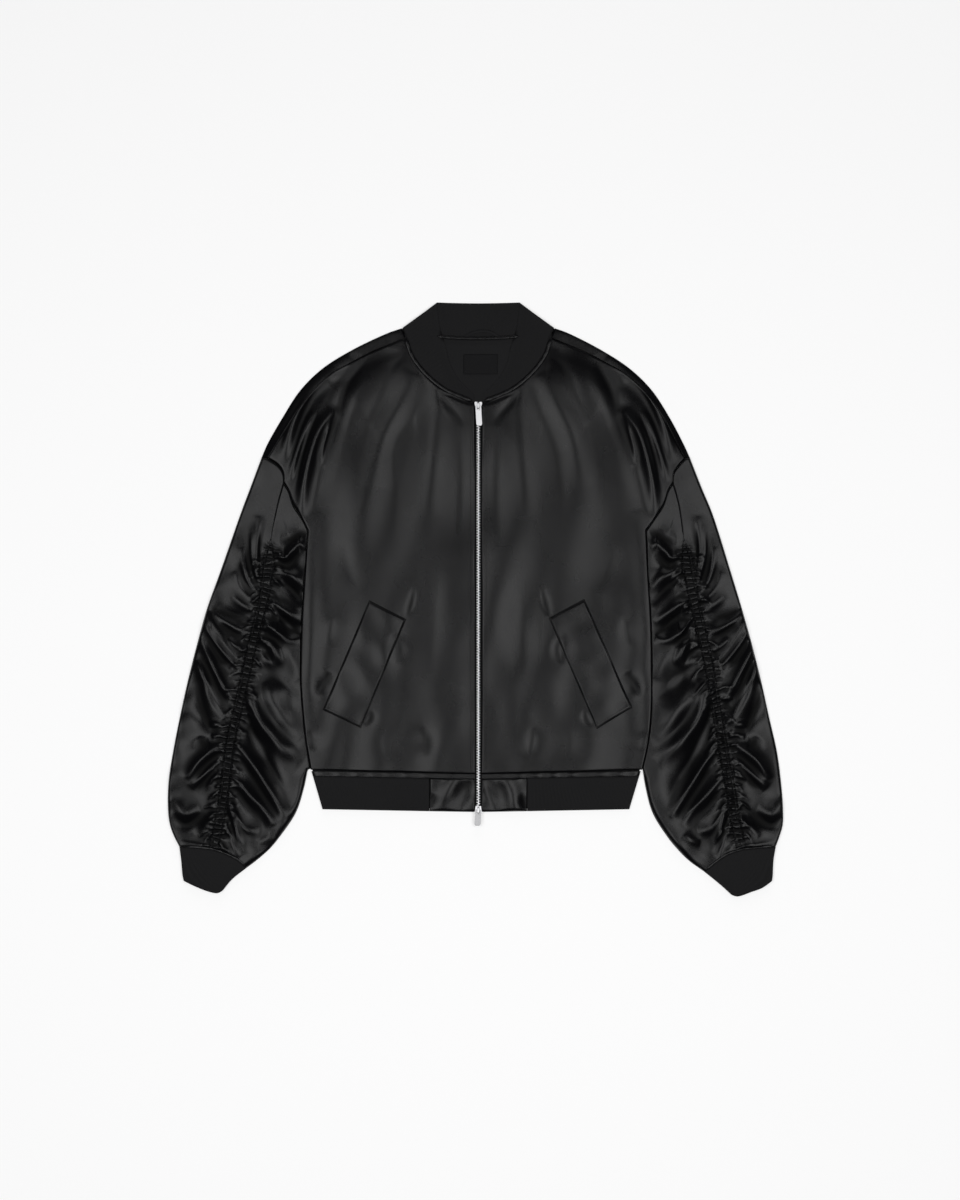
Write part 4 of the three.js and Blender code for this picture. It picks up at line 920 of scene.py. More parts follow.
# %% Folds of the sleeves
SLEEVE_FOLDS = [
    fold(3.2, 6.7, 0.4, (294, 24), (299, 60), (297, 112)),
    fold(-3.8, 5.2, 0.35, (293, 20), (294, 60), (291, 108)),
    fold(2.7, 5.5, 0.35, (296, 18), (306, 58), (303, 100)),
    fold(-3.1, 4.6, 0.35, (297, 14), (309, 48), (311, 92)),
    fold(2.9, 6.1, 0.35, (301, 6), (313, 30), (318, 70)),
    fold(-2.9, 5.8, 0.35, (302, 0), (318, 18), (326, 52)),
    fold(3.5, 7.9, 0.35, (302, -6), (316, 12), (328, 38)),
    fold(2.4, 6.1, 0.4, (304, -16), (318, -8), (334, 4)),
    fold(-5.3, 8.6, 0.45, (362, -11), (340, -20), (322, -25), (305, -29)),
    fold(3.7, 6.7, 0.4, (357, -18), (330, -38), (306, -49)),
    fold(-3.1, 4.6, 0.4, (352, -32), (330, -48), (308, -58)),
    fold(4.9, 6.1, 0.45, (366, -18), (355, -45), (338, -70), (312, -94)),
    fold(-4.1, 4.6, 0.45, (362, -30), (348, -58), (330, -80), (314, -92)),
    fold(4.5, 6.1, 0.45, (369, -28), (359, -53), (341, -76), (316, -102)),
    fold(-4.3, 5.2, 0.45, (370, -42), (356, -66), (340, -90), (320, -112)),
    fold(4.1, 6.1, 0.45, (374, -54), (362, -84), (348, -112), (330, -136)),
    fold(-3.6, 5.2, 0.45, (376, -72), (362, -102), (350, -126)),
    fold(2.7, 4.9, 0.4, (339, -54), (325, -66), (312, -72)),
    fold(2.6, 4.9, 0.4, (344, -84), (334, -96), (322, -106)),
    fold(6.1, 7.3, 0.5, (378, -84), (364, -126), (346, -158), (333, -178)),
    fold(-4.8, 5.8, 0.5, (374, -104), (356, -142), (338, -172)),
    fold(5.1, 7.3, 0.5, (358, -90), (344, -120), (330, -140)),
    fold(-5.3, 6.9, 0.5, (384, -116), (374, -150), (360, -176), (342, -186)),
    fold(2.9, 5.5, 0.4, (364, -172), (350, -170), (338, -174)),
    fold(2.7, 5.5, 0.4, (360, -188), (348, -184), (338, -182)),
    fold(-3.4, 9.2, 0.5, (378, -184), (372, -196), (362, -200)),
    fold(6.5, 7.9, 0.55, (338, -192), (360, -206), (378, -222), (392, -246)),
    fold(-5.0, 5.8, 0.5, (344, -206), (364, -224), (386, -250)),
    fold(5.6, 7.9, 0.55, (343, -212), (366, -232), (390, -256)),
    fold(-4.1, 5.8, 0.5, (348, -226), (366, -244), (384, -262)),
    fold(2.9, 6.1, 0.4, (345, -228), (358, -240), (370, -248)),
    fold(-5.0, 6.9, 0.5, (416, -288), (396, -306), (372, -292), (354, -280)),
    fold(2.9, 8.5, 0.5, (412, -270), (396, -290), (376, -282)),
    fold(2.4, 6.1, 0.4, (350, -300), (364, -306), (380, -322)),
    fold(2.1, 4.9, 0.4, (356, -316), (366, -324), (372, -334)),
    fold(5.1, 6.1, 0.5, (272, 64), (262, 54), (252, 64), (243, 74), (232, 67)),
    fold(-4.3, 5.8, 0.5, (270, 52), (258, 42), (246, 54), (236, 60)),
    fold(-4.8, 8.0, 0.5, (268, 80), (254, 80), (242, 88), (232, 84)),
    fold(5.1, 8.5, 0.4, (276, 40), (262, 36), (248, 28), (234, 12)),
    fold(-5.8, 6.9, 0.45, (272, 24), (256, 16), (240, -2), (234, -12)),
    fold(2.6, 4.9, 0.35, (280, 26), (270, 22), (262, 16)),
    fold(6.0, 7.9, 0.45, (286, -16), (274, -8), (257, -20), (238, -34)),
    fold(-7.0, 8.0, 0.5, (284, -30), (268, -26), (254, -38), (238, -50)),
    fold(5.5, 7.9, 0.45, (296, -46), (283, -38), (270, -47), (254, -56), (238, -53)),
    fold(-3.6, 5.8, 0.4, (292, -54), (276, -54), (262, -66)),
    fold(4.1, 7.3, 0.4, (298, -57), (283, -58), (274, -74), (264, -90)),
    fold(-3.8, 6.9, 0.45, (300, -70), (286, -76), (276, -96)),
    fold(2.4, 11.0, 0.5, (262, -60), (250, -84), (240, -110)),
    fold(6.3, 11.0, 0.45, (309, -106), (308, -137), (296, -165), (272, -194), (240, -222)),
    fold(-6.7, 14.0, 0.4, (296, -86), (276, -104), (252, -124), (238, -138)),
    fold(2.9, 12.0, 0.45, (290, -112), (276, -140), (256, -170), (240, -190)),
    fold(-2.6, 9.0, 0.45, (300, -128), (286, -156), (262, -184), (240, -204)),
    fold(-7.9, 9.0, 0.45, (315, -118), (312, -161), (303, -190), (280, -230), (262, -262), (252, -284)),
    fold(5.6, 6.5, 0.4, (330, -192), (308, -218), (288, -250), (268, -283), (258, -296)),
    fold(-4.6, 6.5, 0.45, (324, -216), (304, -246), (286, -274), (270, -300)),
    fold(4.4, 6.5, 0.4, (332, -236), (308, -266), (288, -287), (276, -307)),
    fold(-3.6, 6.0, 0.45, (332, -252), (312, -280), (296, -298), (284, -316)),
    fold(4.4, 6.5, 0.4, (335, -262), (326, -291), (312, -311), (295, -316)),
    fold(-3.4, 4.6, 0.45, (334, -262), (322, -292), (308, -316)),
    fold(4.5, 6.1, 0.45, (340, -256), (333, -285), (325, -322), (317, -344)),
    fold(-3.4, 4.1, 0.45, (342, -278), (334, -306), (326, -336)),
    fold(3.4, 5.5, 0.45, (344, -302), (334, -322), (324, -350)),
    fold(2.2, 6.1, 0.5, (300, -330), (288, -326), (278, -318)),
    fold(1.8, 3.2, 0.5, (402, -329), (380, -332), (357, -334), (338, -341), (322, -351)),
    fold(-3.0, 9.0, 0.5, (392, -20), (398, -70), (408, -130)),
    fold(-2.6, 12.0, 0.5, (396, -150), (404, -200), (408, -240)),
    fold(-3.2, 10.0, 0.5, (344, -316), (320, -334), (306, -350)),
]
SMALL_FOLDS = 52
GATHERS = 62
STITCH_ROW = 0.62
ROW_DEPTH = 0.35
ROW_WIDTH = 1.3
PUCKER = 1.2
PUCKER_REACH = 4.2
CHANNEL = 0.5
CALM_FROM = 50
SLEEVE_TILT = 0.05
SLEEVE_MIDDLE_X = 285


def small_folds(side):
    """Short folds that fan out from the gathers on both sides of the ruched seam."""
    random = np.random.default_rng(23 if side == "left" else 29)
    line = LINES["left"]["ruched"]
    ways = leftward(line)
    half = LINES["left"]["ruche_half"]
    folds = []
    for k in range(SMALL_FOLDS):
        share = RUCHE_START * (k + random.uniform(0.1, 0.9)) / SMALL_FOLDS * 0.97
        i = int(share * (len(line) - 1))
        for way in (-1, 1):
            reach = half[i] + random.uniform(7, 22)
            start = line[i] + ways[i] * way * half[i] * 0.7
            lean = np.array([0, random.uniform(-0.9, 0.15) * reach])
            end = line[i] + ways[i] * way * reach + lean
            middle = (start + end) / 2 + np.array([0, random.uniform(0, 0.12) * reach])
            rise = random.uniform(1.0, 2.4) * (1 if random.uniform() < 0.72 else -0.8)
            course = [(-p[0], p[1]) for p in (start, middle, end)]
            folds.append(fold(rise, random.uniform(1.7, 2.9), 0.3, *course))
    return folds


def gather_waves(side, x, y):
    """Puckers of the gathered seam with its two rows of stitches, at points near it."""
    random = np.random.default_rng(41 if side == "left" else 43)
    lines = LINES[side]
    share, signed = nearest(lines["ruched"][::4], x, y)
    half = np.interp(share, shares_of(lines["ruched"]), lines["ruche_half"])
    place = share / RUCHE_START * GATHERS
    strength = np.interp(place, np.arange(GATHERS + 3), random.uniform(0.55, 1.25, GATHERS + 3))
    shift = np.interp(place, np.arange(GATHERS + 3), random.uniform(-0.32, 0.32, GATHERS + 3))
    skew = np.interp(place, np.arange(GATHERS + 3), random.uniform(-0.55, 0.55, GATHERS + 3))
    across = signed / np.maximum(half, 1)
    phase = 2 * np.pi * (place + shift + skew * across * 0.5)
    wave = 1 - 2 * np.abs(np.cos(phase / 2)) ** 3
    beyond = np.maximum(np.abs(signed) - half, 0)
    starts = np.clip((RUCHE_START - share) / 0.03, 0, 1) * np.clip(share / 0.012, 0, 1)
    row = np.exp(-(((np.abs(signed) - half * STITCH_ROW) / ROW_WIDTH) ** 2))
    rise = PUCKER * strength * np.exp(-beyond / PUCKER_REACH) * (1 - 0.5 * row) * starts
    channel = -CHANNEL * np.exp(-((signed / np.maximum(half * 1.25, 1)) ** 4)) * starts
    return wave * rise - ROW_DEPTH * row * starts + channel


def sleeve_height(side, x, y):
    sign = SIDES[side]
    height = PANEL_TOP + fold_heights(SLEEVE_FOLDS, sign, x, y)
    height = height + fold_heights(small_folds(side), sign, x, y)
    calm = np.clip((y - CALM_FROM) / 60, 0, 1)
    height = height + unevenness(x, y, 31 if side == "left" else 37, 62, 1.3) * (1 - 0.75 * calm)
    height = height - calm * SLEEVE_TILT * (np.abs(x) - SLEEVE_MIDDLE_X)
    return height + gather_waves(side, x, y)


print("sleeve folds:", len(SLEEVE_FOLDS) + 2 * SMALL_FOLDS)


# %% Sleeve panels
SIDES_MEET_Y = -226
PLAIN_SEAM_SHARE = 0.84
SLEEVE_ROWS = 290


def stretched(line, start, end):
    """A line moved so that it starts and ends at given points."""
    share = shares_of(line)[:, None]
    return line + (start - line[0]) * (1 - share) + (end - line[-1]) * share


def plain_seam(up, sheet):
    """The reach and low of the seam above the gathers, and none along the gathers."""
    plain = np.clip((up[:, None] - PLAIN_SEAM_SHARE) / 0.02, 0, 1)
    return lerp(0.01, 2.4, plain), lerp(99, PANEL_TOP - 0.4, plain)


def make_sleeve_outer(side):
    lines = LINES[side]
    outside = lines["sleeve_outer"][::-1]
    bottom = stretched(lines["cuff_outer"], outside[0], lines["ruche_outside"][0])
    across = crowded(52, 0.3)
    up = crowded(SLEEVE_ROWS, 0.05)
    sheet = patch(bottom, lines["sleeve_top"], outside, lines["ruche_outside"], across, up)
    height = sleeve_height(side, sheet[..., 0], sheet[..., 1])
    height = rounded(height, sheet, [(3.6, NOSE), plain_seam(up, sheet), SEWN, SEWN])
    grid = rolled_under(with_heights(sheet, np.maximum(height, NOSE)), "first")
    return shell(f"sleeve_outer_{side}", grid, SATIN_THICK, satin)


def make_sleeve_inner(side):
    lines = LINES[side]
    inside = lines["sleeve_inside"]
    bottom = stretched(lines["cuff_inner"], lines["ruche_inside"][0], inside[0])
    across = crowded(58, 0.3)
    up = crowded(SLEEVE_ROWS, 0.05)
    sheet = patch(bottom, lines["armhole_front"], lines["ruche_inside"], inside, across, up)
    height = sleeve_height(side, sheet[..., 0], sheet[..., 1])
    free = np.clip((SIDES_MEET_Y - sheet[:, -1:, 1]) / 20, 0, 1)
    reach, low = lerp(2.2, 8, free), lerp(PANEL_TOP - 2.0, NOSE + 0.2, free)
    height = rounded(height, sheet, [plain_seam(up, sheet), (reach, low), SEWN, SEWN])
    grid = with_heights(sheet, np.maximum(height, NOSE))
    return shell(f"sleeve_inner_{side}", grid, SATIN_THICK, satin)


def make_ruche(side):
    lines = LINES[side]
    shares = np.linspace(0.001, RUCHE_START - 0.004, 560)
    outside = at_shares_of(lines["ruche_outside"], lines["ruched"], shares)
    inside = at_shares_of(lines["ruche_inside"], lines["ruched"], shares)
    across = np.linspace(0, 1, 18)[None, :, None]
    sheet = outside[:, None, :] * (1 - across) + inside[:, None, :] * across
    height = sleeve_height(side, sheet[..., 0], sheet[..., 1])
    height = rounded(height, sheet, [None, None, SEWN, None])
    return shell(f"ruche_{side}", with_heights(sheet, height), SATIN_THICK, satin, along_normal=False)


SLEEVE_MAKERS = {"sleeve_outer": make_sleeve_outer, "sleeve_inner": make_sleeve_inner, "ruche": make_ruche}
for side in SIDES:
    for node, make in SLEEVE_MAKERS.items():
        dress(make(side), f"{node}_{side}")

# %% [markdown]
# Under the sleeves and the body lies the back, one flat layer on the floor. Little of it shows,
# so it is a thin slab that ends just inside the rolled edges.

# %% Flat layers of the back
BACK_FLOOR = 0.05
BACK_TOP = 1.7
KEPT_IN = 3.6
BACK_NECK_Y = 350.6


def inset(sheet, first=0.0, other=0.0, bottom=0.0, top=0.0):
    """A sheet's grid drawn in from its four edges by margins in millimetres."""
    result = sheet
    for low, high in ((first, other), (bottom, top)):
        rows = []
        for line in result:
            run = length_of(line)
            shares = np.linspace(low / run, 1 - high / run, len(line))
            rows.append(at_shares(line, shares))
        result = np.swapaxes(np.array(rows), 0, 1)
    return result


def slab(name, sheet, top, floor, material):
    """A closed layer between two heights over a sheet. Each may be a number or a grid."""
    grid = with_heights(sheet, np.broadcast_to(np.asarray(top, float), sheet.shape[:2]))
    under = with_heights(sheet, np.broadcast_to(np.asarray(floor, float), sheet.shape[:2]))
    return shell(name, grid, 0, material, under=under)


def body_outline(side):
    """The back panel's side line from the hem up to the neck."""
    parts = ("body_side", "armhole_front", "armhole_top", "armhole_shoulder", "shoulder_outline")
    return joined_back(LINES[side], *parts)


def back_neck(x):
    rise = (np.abs(x) / COLLAR_FOLD[0]) ** 2.4
    return np.stack([x, lerp(BACK_NECK_Y, COLLAR_FOLD[1] - 1, rise)], axis=-1)


left, right = body_outline("left"), body_outline("right")
neck_line = back_neck(np.linspace(-COLLAR_FOLD[0], COLLAR_FOLD[0], 60))
sheet = patch(straight(left[0], right[0]), neck_line, left, right, crowded(60), crowded(60))
sheet = inset(sheet, 1.2, 1.2, 0.3, 0.3)
folds = fold_heights(BODY_FOLDS, -1, sheet[..., 0], sheet[..., 1]) * 0.12
back_panel = slab("back_panel", sheet, BACK_TOP + np.clip(folds, -0.3, 0.3), BACK_FLOOR, satin)
dress(back_panel, "back_panel")

for side in SIDES:
    lines = LINES[side]
    outside, inside = lines["sleeve_outer"][::-1], lines["sleeve_inside"]
    sheet = patch(lines["cuff_seam"], lines["armhole"], outside, inside, crowded(30), crowded(60))
    sheet = inset(sheet, KEPT_IN, 1.0, 0.4, 0.4)
    piece = slab(f"sleeve_back_{side}", sheet, BACK_TOP, BACK_FLOOR, satin)
    dress(piece, f"sleeve_back_{side}")
print("back layers:", 1 + len(SIDES))

# %% [markdown]
# ## Rib knit
# Collar, cuffs and hem are knitted in ribs. A rib is a raised column of stitches with a groove
# beside it. The solids have one ridge for each pair of columns, and here each column is raised.

# %% Ribs
RIB_PITCH = 2.0
RIB_RISE = 0.45
POINTS_A_RIB = 4


def rib_wave(run):
    """The relief of ribs at distances along a band."""
    return RIB_RISE * np.abs(np.sin(np.pi * run / RIB_PITCH)) ** 0.8


def ribbed_slab(name, place, run, rows, floor, thick, edges, finish=None):
    """A band of ribs. place(along, over) gives its points, and run is its length along."""
    ribs = round(run / RIB_PITCH)
    along = np.linspace(0, 1, ribs * POINTS_A_RIB + 1)
    over = np.linspace(0, 1, rows)
    sheet = place(along[None, :, None], over[:, None, None])
    top = floor + thick + rib_wave(along * ribs * RIB_PITCH)[None, :] - RIB_RISE * 0.4
    top = rounded(np.broadcast_to(top, sheet.shape[:2]), sheet, edges)
    if finish:
        top, floor = finish(sheet, top)
    return slab(name, sheet, top, floor, knit)


# %% Collar
RIB_THICK = 3.0
COLLAR_RUN = 152
COLLAR_FLOOR = 4.3
COLLAR_TOP_Y = 400.4
COLLAR_SAG = 1.2
COLLAR_THINS = 16
COLLAR_EDGE = 4.4
COLLAR_EDGE_ON_BACK = 3.4
COLLAR_MEETS_BACK = 359
# The height up the jacket of the shadow painted under the collar's free edge.
TUCK_SHADOW_Y = 355


def collar_back_place(along, over):
    fold_out = COLLAR_FOLD[0]
    top_half = SEAM_TABLES["collar_free"][0][0]
    edge = back_neck(lerp(-fold_out, fold_out, along[..., 0])) + np.array([0, 0.2])
    top_y = COLLAR_TOP_Y - COLLAR_SAG * np.sin(np.pi * along[..., 0])
    top = np.stack([lerp(-top_half, top_half, along[..., 0]), top_y], axis=-1)
    return edge * (1 - over) + top * over


def thin_edge(sheet, top):
    """Thins the collar to its free edge, which lies flush on the back band and just above the lining."""
    ramp = np.clip(distances(sheet)[3] / COLLAR_THINS, 0, 1)
    ramp = ramp**2 * (3 - 2 * ramp)
    over_back = np.clip((sheet[..., 1] - COLLAR_MEETS_BACK) / 8, 0, 1)
    low = lerp(COLLAR_EDGE, COLLAR_EDGE_ON_BACK, over_back)
    return lerp(low, top, ramp), lerp(low - 0.6, COLLAR_FLOOR, ramp)


def paint_tuck_shadow(piece, free):
    """Paints shadow on the short piece of the free edge that stands off the back neck, where no light gets
    in: the mask darkens the knit's colour there.
    """
    x, y, _ = np.array([vertex.co for vertex in piece.data.vertices]).T / MM
    _, away = nearest(free[::6], x, y)
    depth = 0.95 * np.exp(-((away / 2.2) ** 2) - ((y - TUCK_SHADOW_Y) / 7) ** 4)
    keep_painted_shade_mask(piece, depth)


def make_collar_front(side):
    sign = SIDES[side]
    free = LINES[side]["collar_free"]
    sewn = seam([*SEAM_TABLES["neck"], COLLAR_FOLD], side)[::-1]
    sewn = offset(sewn, -sign * 1.6)

    def place(along, over):
        share = along[..., 0] * 0.985
        return at_shares(sewn, share) * (1 - over) + at_shares(free, share) * over

    edges = [(3.5, COLLAR_FLOOR + 0.6), None, (2, COLLAR_FLOOR + 2.0), None]
    name = f"collar_front_{side}"
    piece = ribbed_slab(name, place, COLLAR_RUN, 20, COLLAR_FLOOR, RIB_THICK, edges, thin_edge)
    # Painted shadow where the free edge stands off the back neck.
    paint_tuck_shadow(piece, free)
    return piece


edges = [(4, 1.2), (4, 1.2), (3, 2.2), (4, 1.0)]
collar_back = ribbed_slab("collar_back", collar_back_place, COLLAR_RUN, 18, BACK_FLOOR, RIB_THICK, edges)
dress(collar_back, "collar_back")
dress_both(make_collar_front, "collar_front")
print("collar ribs:", round(COLLAR_RUN / RIB_PITCH))

# %% [markdown]
# A cuff is a tube that lies flat. Its section is worked out once, as shares across the cuff and
# heights, and is laid along the cuff between its seam, its two sides and its open end.

# %% Cuffs
CUFF_TOP = 6.9
CUFF_ROWS = 22
CUFF_SLOT = (3.0, 3.6)
CUFF_WALL_SHARE = 0.035


def cuff_section(width):
    """The shares across and the heights of the outer loop and of the inner one."""
    ribs = round(width / RIB_PITCH)
    nose = CUFF_TOP / 2
    top = np.linspace(0, 1, ribs * POINTS_A_RIB + 1)[1:-1]
    edge = np.minimum(top, 1 - top) * width
    ribbed = rib_wave(top * ribs * RIB_PITCH) - RIB_RISE * 0.4
    top_z = nose + (CUFF_TOP - nose + ribbed) * rounding(edge, 4)
    angle = np.linspace(0, math.pi / 2, 6)[1:-1]
    under = np.concatenate([angle, [math.pi / 2]])
    down = nose - (nose - BACK_FLOOR) * np.sin(under)
    step = 4 * (1 - np.cos(under)) / width
    floor_share = np.linspace(1 - step[-1], step[-1], 30)[1:-1]
    share = np.concatenate([[0], top, [1], 1 - step, floor_share, step[::-1]])
    z = np.concatenate([[nose], top_z, [nose], down, np.full(len(floor_share), BACK_FLOOR), down[::-1]])
    inner_share = np.clip(share, CUFF_WALL_SHARE, 1 - CUFF_WALL_SHARE)
    upper = np.arange(len(share)) <= len(top) + 1
    inner_z = np.where(upper, CUFF_SLOT[1], CUFF_SLOT[0])
    inner_z[0] = inner_z[len(top) + 1] = sum(CUFF_SLOT) / 2
    return share, z, inner_share, inner_z


def tube_wall(name, outer, inner, material, inside_out):
    """A closed wall between an outer and an inner tube, from grids of loops."""
    rows, around = outer.shape[:2]
    at = np.arange(rows * around).reshape(rows, around)
    ring = np.concatenate([at, at[:, :1]], axis=1)
    side_faces = np.stack([ring[:-1, :-1], ring[:-1, 1:], ring[1:, 1:], ring[1:, :-1]], axis=-1)
    side_faces = side_faces.reshape(-1, 4)
    inner_faces = side_faces[:, ::-1] + rows * around
    start, end = ring[0], ring[-1]
    more = rows * around
    start_faces = np.stack([start[1:], start[:-1], start[:-1] + more, start[1:] + more], axis=-1)
    end_faces = np.stack([end[:-1], end[1:], end[1:] + more, end[:-1] + more], axis=-1)
    faces = np.concatenate([side_faces, inner_faces, start_faces, end_faces])
    if inside_out:
        faces = faces[:, ::-1]
    points = np.concatenate([outer.reshape(-1, 3), inner.reshape(-1, 3)])
    return new_object(name, points, faces, material, cloth_uv(outer))


def make_cuff(side):
    lines = LINES[side]
    width = float(np.linalg.norm(lines["cuff_seam"][0] - lines["cuff_seam"][-1]))
    share, z, inner_share, inner_z = cuff_section(width)
    up = np.linspace(1, 0, CUFF_ROWS)
    first, other = lines["cuff_outer_side"][::-1], lines["cuff_inner_side"][::-1]
    end, sewn = lines["cuff_end"], offset(lines["cuff_seam"], -SIDES[side] * 0.2)
    loops = []
    for shares, heights in ((share, z), (inner_share, inner_z)):
        sheet = patch(end, sewn, first, other, shares, up)
        loops.append(with_heights(sheet, np.broadcast_to(heights, sheet.shape[:2])))
    outer, inner = loops
    sewn_edge = rounding(np.linspace(0, 60, CUFF_ROWS) + 1.2, 4)[:, None]
    outer[..., 2] = np.minimum(outer[..., 2], lerp(5.2, outer[..., 2], sewn_edge))
    return tube_wall(f"cuff_{side}", outer, inner, knit, side == "left")


dress_both(make_cuff, "cuff")

# %% [markdown]
# ## Hem
# Under the body runs a rounded satin strip, then the rib band, and beside the zip a plain satin
# block, which keeps the zip's end flat.

# %% Hem
HEM_STRIP = {"width": 6.5, "edge": 7.1, "roll": 0.2}
HEM_BOTTOM = {"side": -284.7, "zip": -288.4}
HEM_SIDE = {"left": (225.5, 210.5), "right": (219.5, 204.0)}
HEM_BLOCK_OUT = 65.9
BLOCK_FOLDS = [
    fold(2.8, 13, 0.5, (26, -228), (38, -252), (58, -300)),
    fold(-2.2, 7, 0.5, (58, -262), (64, -276), (66, -292)),
    fold(-2.4, 9, 0.5, (8, -240), (16, -266), (28, -296)),
]
HEM_FLOOR = 3.3
HEM_ZIP_GAP = 4.2
SEWN_EDGE = (HEM_SEAM, SEAM_LINE)
STRIP_EDGE = (HEM_SEAM, HEM_STRIP["width"])
BOTTOM_EDGE = (HEM_BOTTOM, 0)


def hem_y(edge, out, side):
    """The height of one of the hem's edges at a distance out. An edge is a level and a drop from it."""
    level, drop = edge
    return lerp(level["zip"], level["side"], out / HEM_SIDE[side][0]) - drop


def hem_side_x(y, side):
    share = (HEM_SEAM["side"] - y) / (HEM_SEAM["side"] - HEM_BOTTOM["side"])
    return lerp(*HEM_SIDE[side], share)


def hem_sheet(side, start, end, top, bottom, columns, rows):
    """A sheet of the hem between two distances out and two of its edges."""
    out = np.linspace(start, end, columns)[None, :]
    over = np.linspace(0, 1, rows)[:, None]
    y = lerp(hem_y(bottom, out, side), hem_y(top, out, side), over)
    share = (out - start) / (end - start)
    reach = hem_side_x(y, side) if end > HEM_BLOCK_OUT else end
    x = SIDES[side] * lerp(start, reach, share)
    return np.stack(np.broadcast_arrays(x, y), axis=-1)


def make_hem(side):
    corner = HEM_SIDE[side][0]
    sheet = hem_sheet(side, HEM_ZIP_GAP, corner, SEWN_EDGE, STRIP_EDGE, 180, 15)
    _, _, low, high = distances(sheet)
    roll = np.sin(np.pi * low / (low + high))
    pulls = unevenness(sheet[..., 0], sheet[..., 1], 51, 26, 0.22)
    height = HEM_STRIP["edge"] + (HEM_STRIP["roll"] + pulls) * roll
    height = rounded(height, sheet, [None, (9, 4.4), None, None])
    strip = shell(f"hem_strip_{side}", with_heights(sheet, height), SATIN_THICK, satin)

    start = HEM_BLOCK_OUT + 0.2
    ribs = round((corner - start) / RIB_PITCH)
    sheet = hem_sheet(side, start, corner, STRIP_EDGE, BOTTOM_EDGE, ribs * POINTS_A_RIB + 1, 16)
    wave = rib_wave(np.linspace(0, ribs * RIB_PITCH, sheet.shape[1]))
    height = np.broadcast_to(HEM_FLOOR + RIB_THICK + wave - RIB_RISE * 0.4, sheet.shape[:2])
    height = rounded(height, sheet, [(1.5, 5.2), (7, 3.6), (5, 3.7), (1.6, 6.0)])
    rib = slab(f"hem_rib_{side}", sheet, height, HEM_FLOOR, knit)

    sheet = hem_sheet(side, HEM_ZIP_GAP, HEM_BLOCK_OUT, STRIP_EDGE, BOTTOM_EDGE, 44, 36)
    pulls = unevenness(sheet[..., 0], sheet[..., 1], 57 if side == "left" else 58, 44, 0.9)
    ridge = fold_heights(BLOCK_FOLDS, SIDES[side], sheet[..., 0], sheet[..., 1])
    height = rounded(6.3 + pulls + ridge, sheet, [(2, 5.9), (1.6, 5.8), (5, 3.7), (1.6, 6.0)])
    block = shell(f"hem_block_{side}", with_heights(sheet, height), SATIN_THICK, satin)
    return {"hem_strip": strip, "hem_rib": rib, "hem_block": block}


hems = {side: make_hem(side) for side in SIDES}
for side, made in hems.items():
    for node, piece in made.items():
        dress(piece, f"{node}_{side}")

# %% Hem across the back
HEM_BACK_TOP = -231.3
HEM_BACK_IN = 1
HEM_BACK_RIBS = 215


def hem_back_ends(end, y):
    """The two ends of the back band's upper edge, end 0, or of its lower edge, end 1."""
    return [np.array([SIDES[side] * (HEM_SIDE[side][end] - HEM_BACK_IN), y]) for side in SIDES]


columns = HEM_BACK_RIBS * POINTS_A_RIB + 1
over = np.linspace(0, 1, 8)[:, None, None]
across = np.linspace(0, 1, columns)[None, :, None]
lower = lerp(*hem_back_ends(1, HEM_BOTTOM["side"] + HEM_BACK_IN), across)
upper = lerp(*hem_back_ends(0, HEM_BACK_TOP), across)
sheet = lerp(lower, upper, over)
wave = rib_wave(np.linspace(0, HEM_BACK_RIBS * RIB_PITCH, columns))[None, :]
height = np.broadcast_to(2.6 + wave, sheet.shape[:2])
height = rounded(height, sheet, [(4, 1.2), (4, 1.2), (4, 0.8), (3, 1.8)])
hem_back = slab("hem_rib_back", sheet, height, BACK_FLOOR, knit)
dress(hem_back, "hem_rib_back")
print("hem pieces:", 1 + sum(len(made) for made in hems.values()))

# %% [markdown]
# ## Neck
# A satin roll is sewn along the neck seam. Inside the neck the lining shows, with a bare woven
# label and the hanger loop above it.

# %% Inside the neck
LINING_FLOOR = 2.5
LINING_TOP = 4.0
LINING_FROM_X = 9


def lining_side(side):
    line = offset(LINES[side]["neck"], SIDES[side] * -2.2)
    return line[(line[:, 1] < BACK_NECK_Y - 1.5) & (np.abs(line[:, 0]) > LINING_FROM_X)]


left, right = lining_side("left"), lining_side("right")
top = back_neck(np.linspace(left[-1, 0], right[-1, 0], 60)) - np.array([0, 0.2])
left, right = np.vstack([left, top[:1]]), np.vstack([right, top[-1:]])
sheet = patch(straight(left[0], right[0]), top, left, right, crowded(60), crowded(60))
from_top = distances(sheet)[3]
taped = np.exp(-(((from_top - 9) / 1.2) ** 2)) * 0.35
height = LINING_TOP - 0.25 + taped + unevenness(sheet[..., 0], sheet[..., 1], 61, 55, 0.18)
neck_lining = slab("neck_lining", sheet, height, LINING_FLOOR, lining)
dress(neck_lining, "neck_lining")

LABEL = {"x": 3, "y": 316.7, "width": 46, "height": 27, "floor": 4.35, "top": 5.0}
half_width, half_height = LABEL["width"] / 2, LABEL["height"] / 2
x = LABEL["x"] + crowded(40, 0.3)[None, :] * LABEL["width"] - half_width
y = LABEL["y"] + crowded(26, 0.3)[:, None] * LABEL["height"] - half_height
sheet = np.stack(np.broadcast_arrays(x, y), axis=-1)
height = LABEL["top"] + 0.25 * np.cos((sheet[..., 0] - LABEL["x"]) / half_width * math.pi / 2)
height = rounded(height, sheet, [(1.2, 4.6)] * 4)
neck_label = slab("neck_label", sheet, height, LABEL["floor"], label_cloth)
dress(neck_label, "neck_label")

